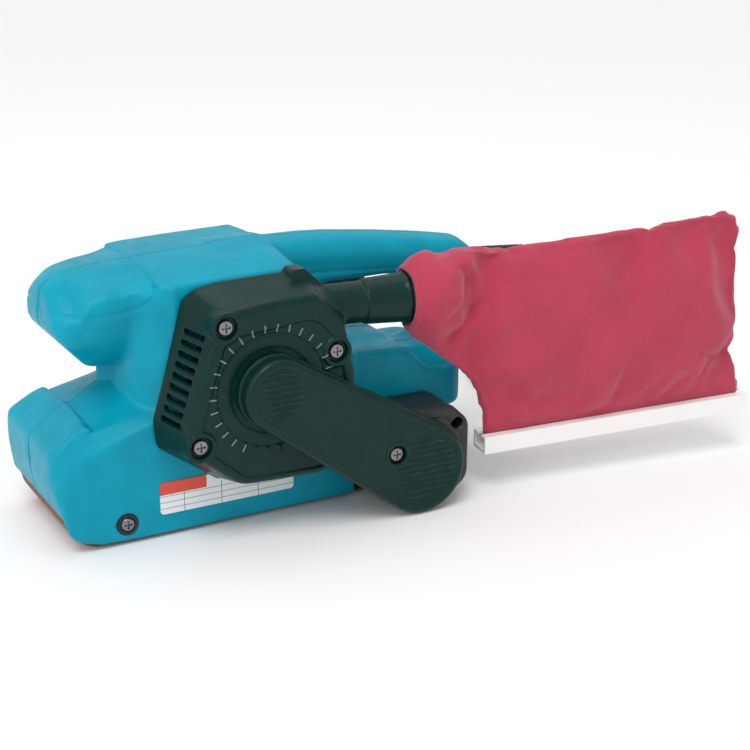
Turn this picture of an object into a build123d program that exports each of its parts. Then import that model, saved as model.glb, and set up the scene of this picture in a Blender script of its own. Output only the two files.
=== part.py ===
"""Handheld belt sander: two-part body, side drive, open-sided sanding frame, dust bag and mains cord.

Millimetres. X runs to the rear handle, Y to the open side, Z up.
The origin is the centre of the sanding face, on the surface being sanded.
"""
from build123d import *
import math
import os

os.makedirs("parts", exist_ok=True)

# Sanding loop
BELT_WIDTH = 76.0
BELT_THICK = 1.0
ROLLER_X = 82.0
FRONT_R = 18.5
REAR_R = 22.5
FRONT_AXIS = (-ROLLER_X, FRONT_R)
REAR_AXIS = (ROLLER_X, REAR_R)
LOOP_GAP = 0.3
ROLLER_HALF = 35.5
FRONT_ROLLER_HALF = 33.0
SHAFT_R = 5.0
AXLE_R = 4.0
RUNNING = 0.05
YOKE_STEM_R = 6.0
LEVER_PIVOT = (-40.0, 32.5)
LEVER_PIN_R = 2.0

# Body shell
HALF_WIDTH = 44.0
SKIRT_WALL = 2.7
MOTOR_AXIS = (0.0, 81.5)
MOTOR_BORE_R = 33.6
BARREL_R = 36.5
BARREL_Y = 66.0
HANDLE_HALF = 16.5
BOLT_R = 1.9
BOLT_HOLE_R = 2.1
HEAD_R = 3.8
HEAD_HOLE_R = 4.2
# Where the right half's bolts go, in X and Z, with the Y of each head's seat
BODY_BOLTS = [(-84, 115, 22), (-34, 126, 33), (24, 126, 33), (66, 129, 12), (145, 116, 12), (143, 84, 12)]
BOLT_TIP_Y = -10.0

# Small controls set in the body, in X and Z
TRACK_AXIS = (-70.0, 11.5)
GROMMET_R = 5.6
LOCK_AXIS = (101.0, 122.5)
LOCK_R = 4.5
DIAL_AXIS = (4.0, 124.5)
DIAL_R = 9.5
TRIGGER_PIVOT = (61.0, 120.0)

# Motor
BRUSH_Y = 48.5

# Drive side
JOINT_Y = -44.2
FACE_Y = -73.0
COVER_Y = -84.0
COVER_TOP_R = 19.0
COVER_LOW_AXIS = (83.0, 25.8)
COVER_LOW_R = 25.3
COVER_WALL = 2.0
SMALL_PULLEY_R = 8.0
LARGE_PULLEY_R = 15.0
DRIVE_BELT_THICK = 2.0
COVER_SCREW = (66.5, 37.0)
FACE_SCREWS = [(-24, 117.5), (-39.5, 57.5), (37, 96)]
JOINT_OUTLINE = [(-37, 127), (-30, 132), (-19, 134.4), (31, 135), (50, 98), (52, 60), (36, 25), (-20, 27), (-54, 52),
                 (-55, 66), (-47, 94)]

# Dust outlet and bag, on an axis that points rearward and a little outward
NOZZLE_START = (45.0, -55.0, 115.5)
NOZZLE_YAW = 8.0
PIPE_R = 11.0
SLEEVE_START = 14.0
SLEEVE_R = 13.2
NOZZLE_LENGTH = 38.0
SPIGOT_R = 8.95
CUFF_START = 38.4
CUFF_END = 50.0
CUFF_R = 14.6
BAG_THICK = 12.0
BAG_MOUTH_SLOPE = 0.025
BAG_MOUTH_Z = 32.3
STRIP_THICK = 15.0
STRIP_HEIGHT = 9.9
STRIP_WALL = 1.6

# Mains cord
CORD_R = 3.5
GUARD_START = (159.0, 0.0, 112.5)
COIL_CENTRE = (258.8, 74.3)
COIL_INNER_R = 26.5
COIL_OUTER_R = 47.5
COIL_HEIGHT = 21.0
TIE_THICK = 0.8
PLUG_HEIGHT = 17.0
PLUG_OFFSET = 36.0
PIN_PITCH = 19.0
PIN_R = 2.4
CORD_ROUTE = [
    (197.0, 0.0, 111.3),
    (222.0, 0.0, 110.49),
    (246.0, 0.5, 99.5),
    (262.0, 3.0, 76.0),
    (267.0, 8.0, 49.5),
    (262.0, 15.0, 25.0),
    (248.5, 25.0, 9.5),
    (230.0, 41.0, 4.9),
]


def slab(points, y_low, y_high):
    """Side outline in X and Z, carried across from y_low to y_high."""
    face = make_face(Polyline(*[(x, y_low, z) for x, z in points], close=True))
    return extrude(face, amount=y_high - y_low, dir=(0, 1, 0))


def plan_slab(points, radii, z_low, z_high):
    """Plan outline in X and Y with one corner radius per point, carried up from z_low to z_high."""
    face = make_face(Polyline(*points, close=True))
    for (x, y), radius in zip(points, radii):
        corner = face.vertices().sort_by_distance((x, y, 0))[0]
        face = fillet(corner, radius)
    return Pos(0, 0, z_low) * extrude(face, amount=z_high - z_low, dir=(0, 0, 1))


def block(low, high):
    """Box between two corners."""
    size = [b - a for a, b in zip(low, high)]
    middle = [(a + b) / 2 for a, b in zip(low, high)]
    return Pos(*middle) * Box(*size)


def rod(radius, start, end, end_radius=None):
    """Round bar, or a cone where end_radius is given, from start to end."""
    run = Vector(*end) - Vector(*start)
    base = Plane(origin=start, z_dir=run)
    seat = (Align.CENTER, Align.CENTER, Align.MIN)
    if end_radius is None:
        return base * Cylinder(radius, run.length, align=seat)
    return base * Cone(radius, end_radius, run.length, align=seat)


def across(radius, axis, y_low, y_high):
    """Round bar across the tool about a point given in X and Z."""
    return rod(radius, (axis[0], y_low, axis[1]), (axis[0], y_high, axis[1]))


def tube(outer, inner, axis, y_low, y_high):
    """Ring across the tool."""
    return across(outer, axis, y_low, y_high) - across(inner, axis, y_low - 1, y_high + 1)


def hull(a, ra, b, rb, y_low, y_high):
    """Two circles joined by their outer tangents, carried from y_low to y_high."""
    run = math.hypot(b[0] - a[0], b[1] - a[1])
    heading = math.atan2(b[1] - a[1], b[0] - a[0])
    spread = math.acos((ra - rb) / run)

    def on(centre, radius, angle):
        return (centre[0] + radius * math.cos(angle), y_low, centre[1] + radius * math.sin(angle))

    a_up = on(a, ra, heading + spread)
    a_low = on(a, ra, heading - spread)
    b_up = on(b, rb, heading + spread)
    b_low = on(b, rb, heading - spread)
    edges = [
        Line(a_up, b_up),
        ThreePointArc(b_up, on(b, rb, heading), b_low),
        Line(b_low, a_low),
        ThreePointArc(a_low, on(a, ra, heading + math.pi), a_up),
    ]
    return extrude(make_face(edges), amount=y_high - y_low, dir=(0, 1, 0))


def save(shape, node):
    """Write one sub-part under its node name."""
    export_step(shape, "parts/" + node + ".step")


# ---------------------------------------------------------------- body shell

def crown(half, z_low, z_high, radius, x_low, x_high):
    """Front outline with rounded upper corners, carried along X."""
    points = [(-half, z_low), (half, z_low), (half, z_high), (-half, z_high)]
    face = make_face(Polyline(*[(x_low, y, z) for y, z in points], close=True))
    face = fillet([v for v in face.vertices() if v.Z > (z_low + z_high) / 2], radius)
    return extrude(face, amount=x_high - x_low, dir=(1, 0, 0))


def bonnet():
    """Front grip and motor cover in one crowned mass."""
    near_side = [(-97, -31), (-54, -35), (-42, -43), (41, -43)]
    plan = near_side + [(x, -y) for x, y in reversed(near_side)]
    radii = [20, 10, 6, 2]
    top = plan_slab(plan, radii + radii[::-1], 50, 150)
    side = slab([(-98, 112), (-96.5, 124), (-93, 130), (-83, 134), (-69, 136.2), (-46, 139.3), (0, 141),
                 (28.5, 141.4), (35, 118), (41, 100), (41, 52), (-50, 52), (-56, 84), (-63, 88), (-66, 86),
                 (-74, 86.5), (-86, 100)], -60, 60)
    right_side = [(14, 84), (22, 95), (28, 105), (33, 119), (31, 127.5), (16, 135)]
    lobe = [(y, z) for y, z in right_side] + [(-y, z) for y, z in reversed(right_side)]
    lobe.insert(len(right_side), (0, 138))
    cover = [(43, 40), (43, 137), (38, 139.6), (0, 141.5), (-25, 139.3), (-43, 135.2), (-43, 40)]
    front = front_outline(lobe, -110, -56)
    return top & side & (front + front_outline(cover, -56.5, 54))


def front_outline(points, x_low, x_high):
    """Front outline in Y and Z, carried along X."""
    face = make_face(Polyline(*[(x_low, y, z) for y, z in points], close=True))
    return extrude(face, amount=x_high - x_low, dir=(1, 0, 0))


def handle():
    """Rear loop handle, one closed ring in side view."""
    outer = slab([(20, 141.3), (36, 141.3), (52, 140.8), (67, 139.7), (83, 138.1), (99, 135.9), (115, 133.6),
                  (128, 131.6), (138, 129.7), (148, 127.4), (155, 123.2), (160.5, 117), (161, 106), (156, 92),
                  (147, 78), (141, 66), (141, 50), (20, 50)], -HANDLE_HALF, HANDLE_HALF)
    opening = slab([(53, 110), (58, 114), (96, 114), (118, 112.5), (128, 107), (131, 96), (131, 78), (126, 69),
                    (114, 67), (105, 71), (94, 79), (76, 82), (56, 84), (53, 88)], -HANDLE_HALF - 1, HANDLE_HALF + 1)
    edges = [(HANDLE_HALF, 45), (HANDLE_HALF, 127), (11, 136), (4, 141.5)]
    section = edges + [(-y, z) for y, z in reversed(edges)]
    return (outer - opening) & front_outline(section, 15, 170)


def rear_hood():
    """Cover over the rear roller: high at the drive side, falling to the open side."""
    plan = plan_slab([(36, -HALF_WIDTH), (128, -HALF_WIDTH), (141, -22), (141, 26), (128, HALF_WIDTH - 2),
                      (36, HALF_WIDTH - 2)], [1, 8, 14, 14, 12, 1], 40, 90)
    side = slab([(36, 47), (36, 84), (56, 83.5), (76, 82), (94, 79), (105, 71), (114, 67), (141, 66),
                 (141, 48), (132, 42), (108, 42)], -60, 60)
    front_view = [(-60, 30), (-60, 83.6), (6, 82), (60, 52), (60, 30)]
    return plan & side & front_outline(front_view, 30, 150)


def base():
    """Nose and long skirt over the sanding loop."""
    side = [(-101, 26), (-105, 36.5), (-106.5, 44), (-105.5, 50), (-102, 56), (-94, 61), (-86, 65), (-61, 79),
            (60, 80), (60, 1.5), (-61, 2.5), (-72, 5.6), (-81, 9), (-89, 13), (-95, 18), (-99.5, 23.5)]
    mass = slab(side, -HALF_WIDTH, HALF_WIDTH)
    mass &= crown(HALF_WIDTH, 0, 71, 12, -110, -60) + crown(HALF_WIDTH, 0, 84, 6, -61, 62)
    rear = slab([(60, 2), (106, 2), (112, 8), (112, 60), (60, 60)], -HALF_WIDTH, -HALF_WIDTH + 6)
    return mass + rear


def loop_room():
    """The space for the sanding loop, open to the +Y side and below."""
    around = hull(FRONT_AXIS, FRONT_R + 2, REAR_AXIS, REAR_R + 2, -HALF_WIDTH + SKIRT_WALL, 80)
    below = block((-ROLLER_X, -HALF_WIDTH + SKIRT_WALL, -5), (ROLLER_X + 30, 80, 25))
    front = block((-ROLLER_X - 23, -HALF_WIDTH + SKIRT_WALL, -5), (-ROLLER_X, 80, 23))
    return around + below + front


def side_opening():
    """What the open side leaves out, so that the loop slides off sideways."""
    return slab([(-101, -1), (-101, 24), (-96, 40), (-80, 45), (84, 50), (108, 40), (150, 38), (150, -1)], 36, 80)


def shell_rooms():
    """Hollows inside the body for the motor, the switch and the leads."""
    motor = across(MOTOR_BORE_R, MOTOR_AXIS, JOINT_Y - 1, BARREL_Y + 1)
    loft_room = block((-42, -34, 110), (28, 34, 131))
    grip_room = block((-90, -17, 108), (-50, 17, 125))
    switch_room = slab([(58, 118), (58, 135), (84, 133.5), (102, 131), (118, 128.5), (118, 118)], -11, 11)
    trigger_slot = block((57, -7.5, 108), (92, 7.5, 120))
    lead_room = block((27, -6, 124), (60, 6, 133))
    guard_room = rod(5.5, (114, 0, 123), (150, 0, 115)) + rod(8.2, (146, 0, 112.8), (166, 0, 112.4))
    hood_room = block((50, -36, 52), (88, 30, 60))
    return [motor, loft_room, grip_room, switch_room, trigger_slot, lead_room, guard_room, hood_room]


def body_shell():
    """The whole moulding before it is split along the centre plane."""
    barrel = across(BARREL_R, MOTOR_AXIS, 30, BARREL_Y)
    mass = bonnet() + handle() + rear_hood() + base() + barrel
    for room in [loop_room(), side_opening()] + shell_rooms():
        mass -= room
    # Room for the drive roller's bearing boss, the lock button, the dial and the brush holders.
    mass -= across(14.4, REAR_AXIS, -HALF_WIDTH - 1, -HALF_WIDTH + SKIRT_WALL + 1)
    mass -= across(GROMMET_R, TRACK_AXIS, -HALF_WIDTH - 1, -HALF_WIDTH + SKIRT_WALL + 1)
    mass -= across(LOCK_R + 0.3, LOCK_AXIS, 8, HANDLE_HALF + 1)
    mass -= across(DIAL_R + 0.4, DIAL_AXIS, 31, 60)
    for end in (-1, 1):
        mass -= rod(7.2, (0, BRUSH_Y, MOTOR_AXIS[1]), (end * (BARREL_R + 5), BRUSH_Y, MOTOR_AXIS[1]))
    for x, z, seat in BODY_BOLTS:
        mass -= across(BOLT_HOLE_R, (x, z), BOLT_TIP_Y - 1, seat + 1)
        mass -= across(HEAD_HOLE_R, (x, z), seat, 60)
    return mass


def body_bolts():
    """Bolts that hold the two halves together, driven from the open side."""
    bolts = []
    for x, z, seat in BODY_BOLTS:
        head = across(HEAD_R, (x, z), seat, seat + 2.6)
        cross = block((x - 2.4, seat + 1.4, z - 0.45), (x + 2.4, seat + 3, z + 0.45))
        cross += block((x - 0.45, seat + 1.4, z - 2.4), (x + 0.45, seat + 3, z + 2.4))
        bolts.append(head + across(BOLT_R, (x, z), BOLT_TIP_Y, seat) - cross)
    return Compound(children=bolts)


def pan_head(x, z, y_seat, radius, shank_r, shank_end):
    """Cross-slot screw that faces the drive side; its head stands 2.4 mm off its seat."""
    head = across(radius, (x, z), y_seat - 2.4, y_seat)
    head = fillet(head.edges().sort_by(Axis.Y)[0], 1.0)
    slot = 0.62 * radius
    cross = block((x - slot, y_seat - 3, z - 0.45), (x + slot, y_seat - 1.2, z + 0.45))
    cross += block((x - 0.45, y_seat - 3, z - slot), (x + 0.45, y_seat - 1.2, z + slot))
    return head + across(shank_r, (x, z), y_seat, shank_end) - cross


# ---------------------------------------------------------------- sanding frame

def frame_casting():
    """Side plate and centre web that carry the rollers, the shoe and the tension gear."""
    plate = slab([(-78, 9), (-74, 30), (60, 38), (96, 36), (98, 10), (60, 7), (-60, 5)], -41, -38.6)
    web = block((-50, -38.6, 5.2), (54, 27, 31))
    web -= block((-50, -30, 12), (20, 20, 26))
    web += block((-50, -8, 5.2), (-24, 8, 31))
    boss = across(14, REAR_AXIS, -52, -41)
    ears = block((-45, 26, 8), (-35, 37, 11.6)) + block((-45, 26, 25.4), (-35, 37, 29))
    casting = plate + web + boss + ears
    casting -= across(11, REAR_AXIS, -53, -38)
    casting -= rod(YOKE_STEM_R + RUNNING, (-60, 0, FRONT_R), (-20, 0, FRONT_R))
    casting -= rod(YOKE_STEM_R + 2, (-51, 0, FRONT_R), (-46, 0, FRONT_R))
    casting -= rod(LEVER_PIN_R, (LEVER_PIVOT[0], LEVER_PIVOT[1], 4), (LEVER_PIVOT[0], LEVER_PIVOT[1], 32))
    casting -= across(3.1, TRACK_AXIS, -42, -38)
    return casting


def yoke():
    """Fork that holds the front axle and slides in the web."""
    half = FRONT_ROLLER_HALF
    arms = []
    for side in (-1, 1):
        low, high = sorted((side * (half + 0.6), side * (half + 3.6)))
        arms.append(hull(FRONT_AXIS, 11, (-66, FRONT_R), 8, low, high))
    bar = block((-63.2, -half - 3.6, FRONT_R - 9), (-58.5, half + 3.6, FRONT_R + 9))
    stem = rod(YOKE_STEM_R, (-60, 0, FRONT_R), (-30, 0, FRONT_R))
    fork = arms[0] + arms[1] + bar + stem
    return fork - across(AXLE_R, FRONT_AXIS, -60, 60)


def coil_spring():
    """Spring on the yoke's stem, as separate turns."""
    turns = []
    for i in range(4):
        turns.append(Pos(-57.6 + 0.85 * i, 0, FRONT_R) * Rot(0, 90, 0) * Torus(YOKE_STEM_R + 0.6, 0.4))
    return Compound(children=turns)


def lever():
    """Tension lever that lies inside the loop and swings out on an upright pin."""
    x, y = LEVER_PIVOT
    outline = [(x - 4, y - 3.9), (x + 5, y - 3.9), (x + 50, y - 3), (x + 56, y), (x + 56, y + 4.1), (x - 4, y + 4.1)]
    bar = plan_slab(outline, [3.8, 1, 1, 1.2, 2, 3.8], 12.2, 24.8)
    finger_hole = plan_slab([(x + 42, y - 0.9), (x + 51, y - 0.9), (x + 51, y + 8), (x + 42, y + 8)],
                            [1, 1, 0.5, 0.5], 15, 22)
    return bar - finger_hole - rod(LEVER_PIN_R + RUNNING, (x, y, 4), (x, y, 32))


def sanding_parts():
    """Everything inside the sanding loop."""
    inner = hull(FRONT_AXIS, FRONT_R - BELT_THICK, REAR_AXIS, REAR_R - BELT_THICK,
                 -BELT_WIDTH / 2 - 1, BELT_WIDTH / 2 + 1)
    outer = hull(FRONT_AXIS, FRONT_R, REAR_AXIS, REAR_R, -BELT_WIDTH / 2, BELT_WIDTH / 2)
    save(outer - inner, "sanding_belt")
    save(frame_casting(), "frame_casting")
    save(block((-56, -37, BELT_THICK + 0.3), (54, 37, 2.3)), "shoe_plate")
    save(block((-54, -37, 2.3), (52, 37, 5.2)), "shoe_cushion")
    save(yoke(), "front_yoke")
    save(across(AXLE_R, FRONT_AXIS, -FRONT_ROLLER_HALF - 3.6, FRONT_ROLLER_HALF + 3.6), "front_axle")
    save(coil_spring(), "tension_spring")
    front = tube(FRONT_R - BELT_THICK - LOOP_GAP, AXLE_R + RUNNING, FRONT_AXIS,
                 -FRONT_ROLLER_HALF, FRONT_ROLLER_HALF)
    for side in (-1, 1):
        rim = sorted((side * (FRONT_ROLLER_HALF - 4), side * (FRONT_ROLLER_HALF + 1)))
        front -= tube(13.5, 7.5, FRONT_AXIS, rim[0], rim[1])
    save(front, "front_roller")
    rear = tube(REAR_R - BELT_THICK - LOOP_GAP, SHAFT_R, REAR_AXIS, -ROLLER_HALF, ROLLER_HALF)
    rear -= tube(17, 9, REAR_AXIS, ROLLER_HALF - 5, ROLLER_HALF + 1)
    save(rear, "drive_roller")
    shaft = across(SHAFT_R, REAR_AXIS, -81, ROLLER_HALF)
    save(shaft, "drive_shaft")
    save(across(7.5, REAR_AXIS, ROLLER_HALF, ROLLER_HALF + 1.8)
         - across(3, REAR_AXIS, ROLLER_HALF + 0.8, ROLLER_HALF + 3), "drive_shaft_nut")
    save(tube(10.98, SHAFT_R + RUNNING, REAR_AXIS, -51, -43), "drive_roller_bearing")
    save(lever(), "tension_lever")
    x, y = LEVER_PIVOT
    save(rod(LEVER_PIN_R, (x, y, 8.2), (x, y, 28.8)), "lever_pin")


# ---------------------------------------------------------------- motor

def fan_wheel():
    """Cooling and dust fan with straight blades."""
    blades = 12
    wheel = tube(29, 4, MOTOR_AXIS, -52, -50) + tube(9, 4, MOTOR_AXIS, -60, -50)
    for i in range(blades):
        blade = block((8.5, -60, -0.8), (28.5, -51.5, 0.8))
        turned = Rot(0, i * 360 / blades, 0) * blade
        wheel += Pos(MOTOR_AXIS[0], 0, MOTOR_AXIS[1]) * turned
    return wheel


def toothed(radius, teeth, axis, bore, y_low, y_high):
    """Pulley with shallow round grooves."""
    wheel = tube(radius, bore, axis, y_low, y_high)
    for i in range(teeth):
        angle = 2 * math.pi * i / teeth
        groove = (axis[0] + radius * math.cos(angle), axis[1] + radius * math.sin(angle))
        wheel -= across(0.7, groove, y_low - 1, y_high + 1)
    return wheel


def motor_parts():
    """Motor, its bearings and brushes, and the toothed drive to the rear roller."""
    core = tube(17.6, 4, MOTOR_AXIS, -24, 24)
    for i in range(14):
        slot = Rot(0, i * 360 / 14, 0) * block((14, -25, -0.8), (18, 25, 0.8))
        core -= Pos(0, 0, MOTOR_AXIS[1]) * slot
    save(core, "armature_core")
    save(across(4, MOTOR_AXIS, -81, 64), "motor_shaft")
    save(tube(11.5, 4, MOTOR_AXIS, 40, 57.5), "commutator")
    save(fan_wheel(), "fan")
    save(tube(MOTOR_BORE_R - 0.3, 18.6, MOTOR_AXIS, -21, 23), "field_core")
    save(tube(30, 20.5, MOTOR_AXIS, 23, 32) + tube(30, 20.5, MOTOR_AXIS, -30, -21), "field_windings")
    save(tube(10.9, 4 + RUNNING, MOTOR_AXIS, -70, -63), "drive_side_bearing")
    save(tube(10.9, 4 + RUNNING, MOTOR_AXIS, 58.5, 65), "open_side_bearing")
    holders = []
    brushes = []
    caps = []
    for end in (-1, 1):
        def along(near, far, radius, end=end):
            z = MOTOR_AXIS[1]
            return rod(radius, (end * near, BRUSH_Y, z), (end * far, BRUSH_Y, z))
        holders.append(along(13, BARREL_R - 4.5, 6.8) - along(12, BARREL_R, 4))
        brushes.append(along(11.9, 30, 3.9))
        cap = along(BARREL_R - 4.4, BARREL_R + 0.8, 6.6)
        ends = sorted((end * (BARREL_R - 0.2), end * (BARREL_R + 3)))
        cap -= block((ends[0], BRUSH_Y - 5, MOTOR_AXIS[1] - 0.7), (ends[1], BRUSH_Y + 5, MOTOR_AXIS[1] + 0.7))
        caps.append(cap)
    save(Compound(children=holders), "brush_holders")
    save(Compound(children=brushes), "carbon_brushes")
    save(Compound(children=caps), "brush_caps")
    save(toothed(SMALL_PULLEY_R, 18, MOTOR_AXIS, 4, -81, -74), "small_pulley")
    save(toothed(LARGE_PULLEY_R, 38, REAR_AXIS, SHAFT_R, -81, -74), "large_pulley")
    gap = LOOP_GAP
    loop = hull(MOTOR_AXIS, SMALL_PULLEY_R + gap + DRIVE_BELT_THICK,
                REAR_AXIS, LARGE_PULLEY_R + gap + DRIVE_BELT_THICK, -80.5, -74.5)
    loop -= hull(MOTOR_AXIS, SMALL_PULLEY_R + gap, REAR_AXIS, LARGE_PULLEY_R + gap, -82, -73)
    save(loop, "drive_belt")


def end_cap():
    """Vented cap on the open-side end of the motor barrel."""
    cap = across(BARREL_R - 0.5, MOTOR_AXIS, BARREL_Y, BARREL_Y + 10)
    cap = fillet(cap.edges().sort_by(Axis.Y)[-1], 5)
    cap -= across(BARREL_R - 4, MOTOR_AXIS, BARREL_Y - 1, BARREL_Y + 7)
    seat = tube(13.5, 10.95, MOTOR_AXIS, BARREL_Y - 7.5, BARREL_Y + 7.5)
    plate = tube(BARREL_R - 4, 13, MOTOR_AXIS, BARREL_Y, BARREL_Y + 1.5)
    cap += seat + plate
    vents = 16
    for i in range(vents):
        slit = Rot(0, i * 360 / vents, 0) * block((18, BARREL_Y - 1, -1.3), (33, BARREL_Y + 12, 1.3))
        cap -= Pos(0, 0, MOTOR_AXIS[1]) * slit
    return cap


# ---------------------------------------------------------------- drive side

def outlet_point(distance):
    """Point on the dust outlet's axis, this far along it."""
    yaw = math.radians(NOZZLE_YAW)
    x, y, z = NOZZLE_START
    return (x + distance * math.cos(yaw), y - distance * math.sin(yaw), z)


def drive_housing():
    """Dark cover over the fan, with its louvre panel and the dust outlet."""
    face = [(-25, 124), (27, 124), (42, 92), (47, 58), (32, 30), (-17, 33), (-45, 56), (-44, 68), (-36, 94)]
    near = make_face(Polyline(*[(x, JOINT_Y, z) for x, z in JOINT_OUTLINE], close=True))
    far = make_face(Polyline(*[(x, FACE_Y, z) for x, z in face], close=True))
    mass = loft([near, far], ruled=True)
    mass += rod(PIPE_R, outlet_point(-62), outlet_point(NOZZLE_LENGTH))
    mass += rod(PIPE_R + 0.4, outlet_point(SLEEVE_START), outlet_point(NOZZLE_LENGTH), SLEEVE_R)
    mass += rod(SLEEVE_R + 0.5, outlet_point(NOZZLE_LENGTH - 1.6), outlet_point(NOZZLE_LENGTH))
    mass -= across(31, MOTOR_AXIS, -63, JOINT_Y + 1)
    mass -= rod(PIPE_R - 2, outlet_point(-50), outlet_point(NOZZLE_LENGTH + 1))
    mass -= across(10.95, MOTOR_AXIS, -70, -60)
    mass -= across(6, MOTOR_AXIS, -74, -60)
    slots = 9
    for i in range(slots):
        z = 112.5 - 5.55 * i
        x = -33.5 - 2.05 * i
        slot = Pos(x, -57, z) * Rot(0, 0, -68) * Box(17, 26, 2.4)
        mass -= slot
    mass -= tube(29.2, 28, MOTOR_AXIS, FACE_Y - 1, FACE_Y + 1)
    ticks = 24
    for i in range(ticks):
        mark = Rot(0, i * 360 / ticks, 0) * block((31.5, FACE_Y - 1, -0.5), (35.5, FACE_Y + 0.8, 0.5))
        if math.sin(2 * math.pi * i / ticks) < 0.9:
            mass -= Pos(0, 0, MOTOR_AXIS[1]) * mark
    for x, z in FACE_SCREWS:
        mass -= across(5.9, (x, z), FACE_Y - 1, FACE_Y + 3.4)
        mass -= across(BOLT_HOLE_R, (x, z), FACE_Y, FACE_Y + 15)
    clip = slab([(28, 126), (33, 132), (46, 124), (40, 121)], -54, -46)
    return (mass + clip) & block((-80, -100, 0), (120, JOINT_Y, 150))


def drive_case():
    """Dark case behind the cover, around the drive roller's shaft."""
    outline = [(74, 12), (80, 4), (106, 2.5), (117, 11), (117, 44), (106, 55), (66, 56), (56, 46), (60, 34)]
    case = slab(outline, FACE_Y, JOINT_Y)
    case -= across(14.3, REAR_AXIS, -60, JOINT_Y + 1)
    case -= across(8, REAR_AXIS, FACE_Y - 1, -59)
    case -= across(3, (109, 44), FACE_Y - 1, FACE_Y + 8)
    case -= across(BOLT_HOLE_R, COVER_SCREW, FACE_Y - 1, FACE_Y + 14)
    for x, z in FACE_SCREWS:
        case -= across(5.9, (x, z), FACE_Y - 1, FACE_Y + 3.4)
    return case


def belt_cover():
    """Cover over the toothed drive, with a raised rim and two patches of grooves."""
    shell = hull(MOTOR_AXIS, COVER_TOP_R, COVER_LOW_AXIS, COVER_LOW_R, COVER_Y, FACE_Y - 0.2)
    shell = fillet(shell.edges().group_by(Axis.Y)[0], 3)
    shell -= hull(MOTOR_AXIS, COVER_TOP_R - COVER_WALL, COVER_LOW_AXIS, COVER_LOW_R - COVER_WALL,
                  COVER_Y + COVER_WALL, FACE_Y + 1)
    shell -= hull(MOTOR_AXIS, COVER_TOP_R - 4.5, COVER_LOW_AXIS, COVER_LOW_R - 4.5, COVER_Y - 1, COVER_Y + 0.8)
    boss = across(5.8, COVER_SCREW, COVER_Y + 0.8, FACE_Y - 0.2)
    boss += across(7, COVER_SCREW, COVER_Y + 0.8, COVER_Y + 2.7)
    shell += boss
    shell -= across(5.2, COVER_SCREW, COVER_Y - 1, COVER_Y + 4)
    shell -= across(BOLT_HOLE_R, COVER_SCREW, COVER_Y, FACE_Y + 1)
    for axis, radius, count, shift in ((MOTOR_AXIS, 12, 5, 2), (COVER_LOW_AXIS, 18.5, 11, 1)):
        for i in range(count):
            z = (i - (count - 1) / 2) * 3.3
            half = math.sqrt(radius ** 2 - z ** 2)
            x, middle = axis[0] + shift, axis[1]
            shell -= block((x - half, COVER_Y, middle + z - 0.55), (x + half, COVER_Y + 1.4, middle + z + 0.55))
    return shell


def drive_side_parts():
    """Dark mouldings on the drive side and their screws."""
    housing = drive_housing()
    case = drive_case() - housing
    save(housing, "drive_housing")
    save(case, "drive_case")
    save(belt_cover(), "belt_cover")
    screws = [pan_head(x, z, FACE_Y + 3.4, 4.0, BOLT_R, FACE_Y + 14) for x, z in FACE_SCREWS]
    save(Compound(children=screws), "drive_side_screws")
    save(pan_head(COVER_SCREW[0], COVER_SCREW[1], COVER_Y + 4, 3.9, BOLT_R, FACE_Y + 13), "cover_screw")


# ---------------------------------------------------------------- controls

def trigger():
    """Switch trigger hinged at its front end inside the handle."""
    blade = slab([(57.8, 115.5), (58.5, 111), (62, 106.5), (70, 104.5), (80, 105.5), (87, 110), (89.5, 115.5),
                  (88, 116.6), (64, 116.6), (64, 122.5), (58.5, 122.5)], -6.8, 6.8)
    return blade - across(1.5 + RUNNING, TRIGGER_PIVOT, -8, 8)


def control_parts():
    """Switch, trigger, lock button, speed dial, tracking screw and rating plate."""
    save(trigger(), "trigger")
    save(across(1.5, TRIGGER_PIVOT, -10.8, 10.8), "trigger_pin")
    save(block((69, -9, 122.8), (94, 9, 131.2)) + block((74, -2, 120.4), (78, 2, 122.8)), "switch_unit")
    button = across(LOCK_R, LOCK_AXIS, 11.4, HANDLE_HALF + 2.6)
    save(fillet(button.edges().sort_by(Axis.Y)[-1], 0.8), "lock_button")
    dial = across(DIAL_R, DIAL_AXIS, 34.5, 43.4)
    for i in range(18):
        angle = 2 * math.pi * i / 18
        notch = (DIAL_AXIS[0] + DIAL_R * math.cos(angle), DIAL_AXIS[1] + DIAL_R * math.sin(angle))
        dial -= across(0.9, notch, 37, 50)
    save(dial, "speed_dial")
    save(tube(GROMMET_R - 0.05, 3.95, TRACK_AXIS, -HALF_WIDTH - 0.4, -HALF_WIDTH + SKIRT_WALL), "tracking_grommet")
    save(pan_head(TRACK_AXIS[0], TRACK_AXIS[1], -HALF_WIDTH + 1.4, 3.6, 3.0, -38.8), "tracking_screw")
    plate = block((-52, -HALF_WIDTH - 0.6, 13), (24, -HALF_WIDTH, 30.5))
    plate = fillet(plate.edges().filter_by(Axis.Y), 2)
    save(plate - slab(JOINT_OUTLINE, -HALF_WIDTH - 2, -HALF_WIDTH + 1), "rating_plate")
    save(body_bolts(), "body_bolts")
    save(end_cap(), "motor_end_cap")


# ---------------------------------------------------------------- dust bag

def bag_frame(distance, height):
    """Point in the bag's middle plane: distance along the outlet's heading, and height."""
    x, y, _ = outlet_point(distance)
    return (x, y, height)


def bag_outline():
    """Bag outline as distance along the outlet and height."""
    return [(44, 98), (44, 133.5), (51, 135.8), (61, 134.3), (67, 136.2), (85, 137.8), (120, 136.6), (148, 138.3),
            (175, 140.6), (206, 142), (221, 143.8), (232, 145.2), (237, 143.2), (241, 137), (240.5, 115),
            (241.5, 94), (243, 69), (242, 60), (245, 50), (247.5, 45), (247.5, 20), (84.5, 20), (84.2, 46), (81, 51),
            (80, 58), (75, 65), (68, 72), (60, 78), (50, 87), (45.5, 93)]


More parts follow.
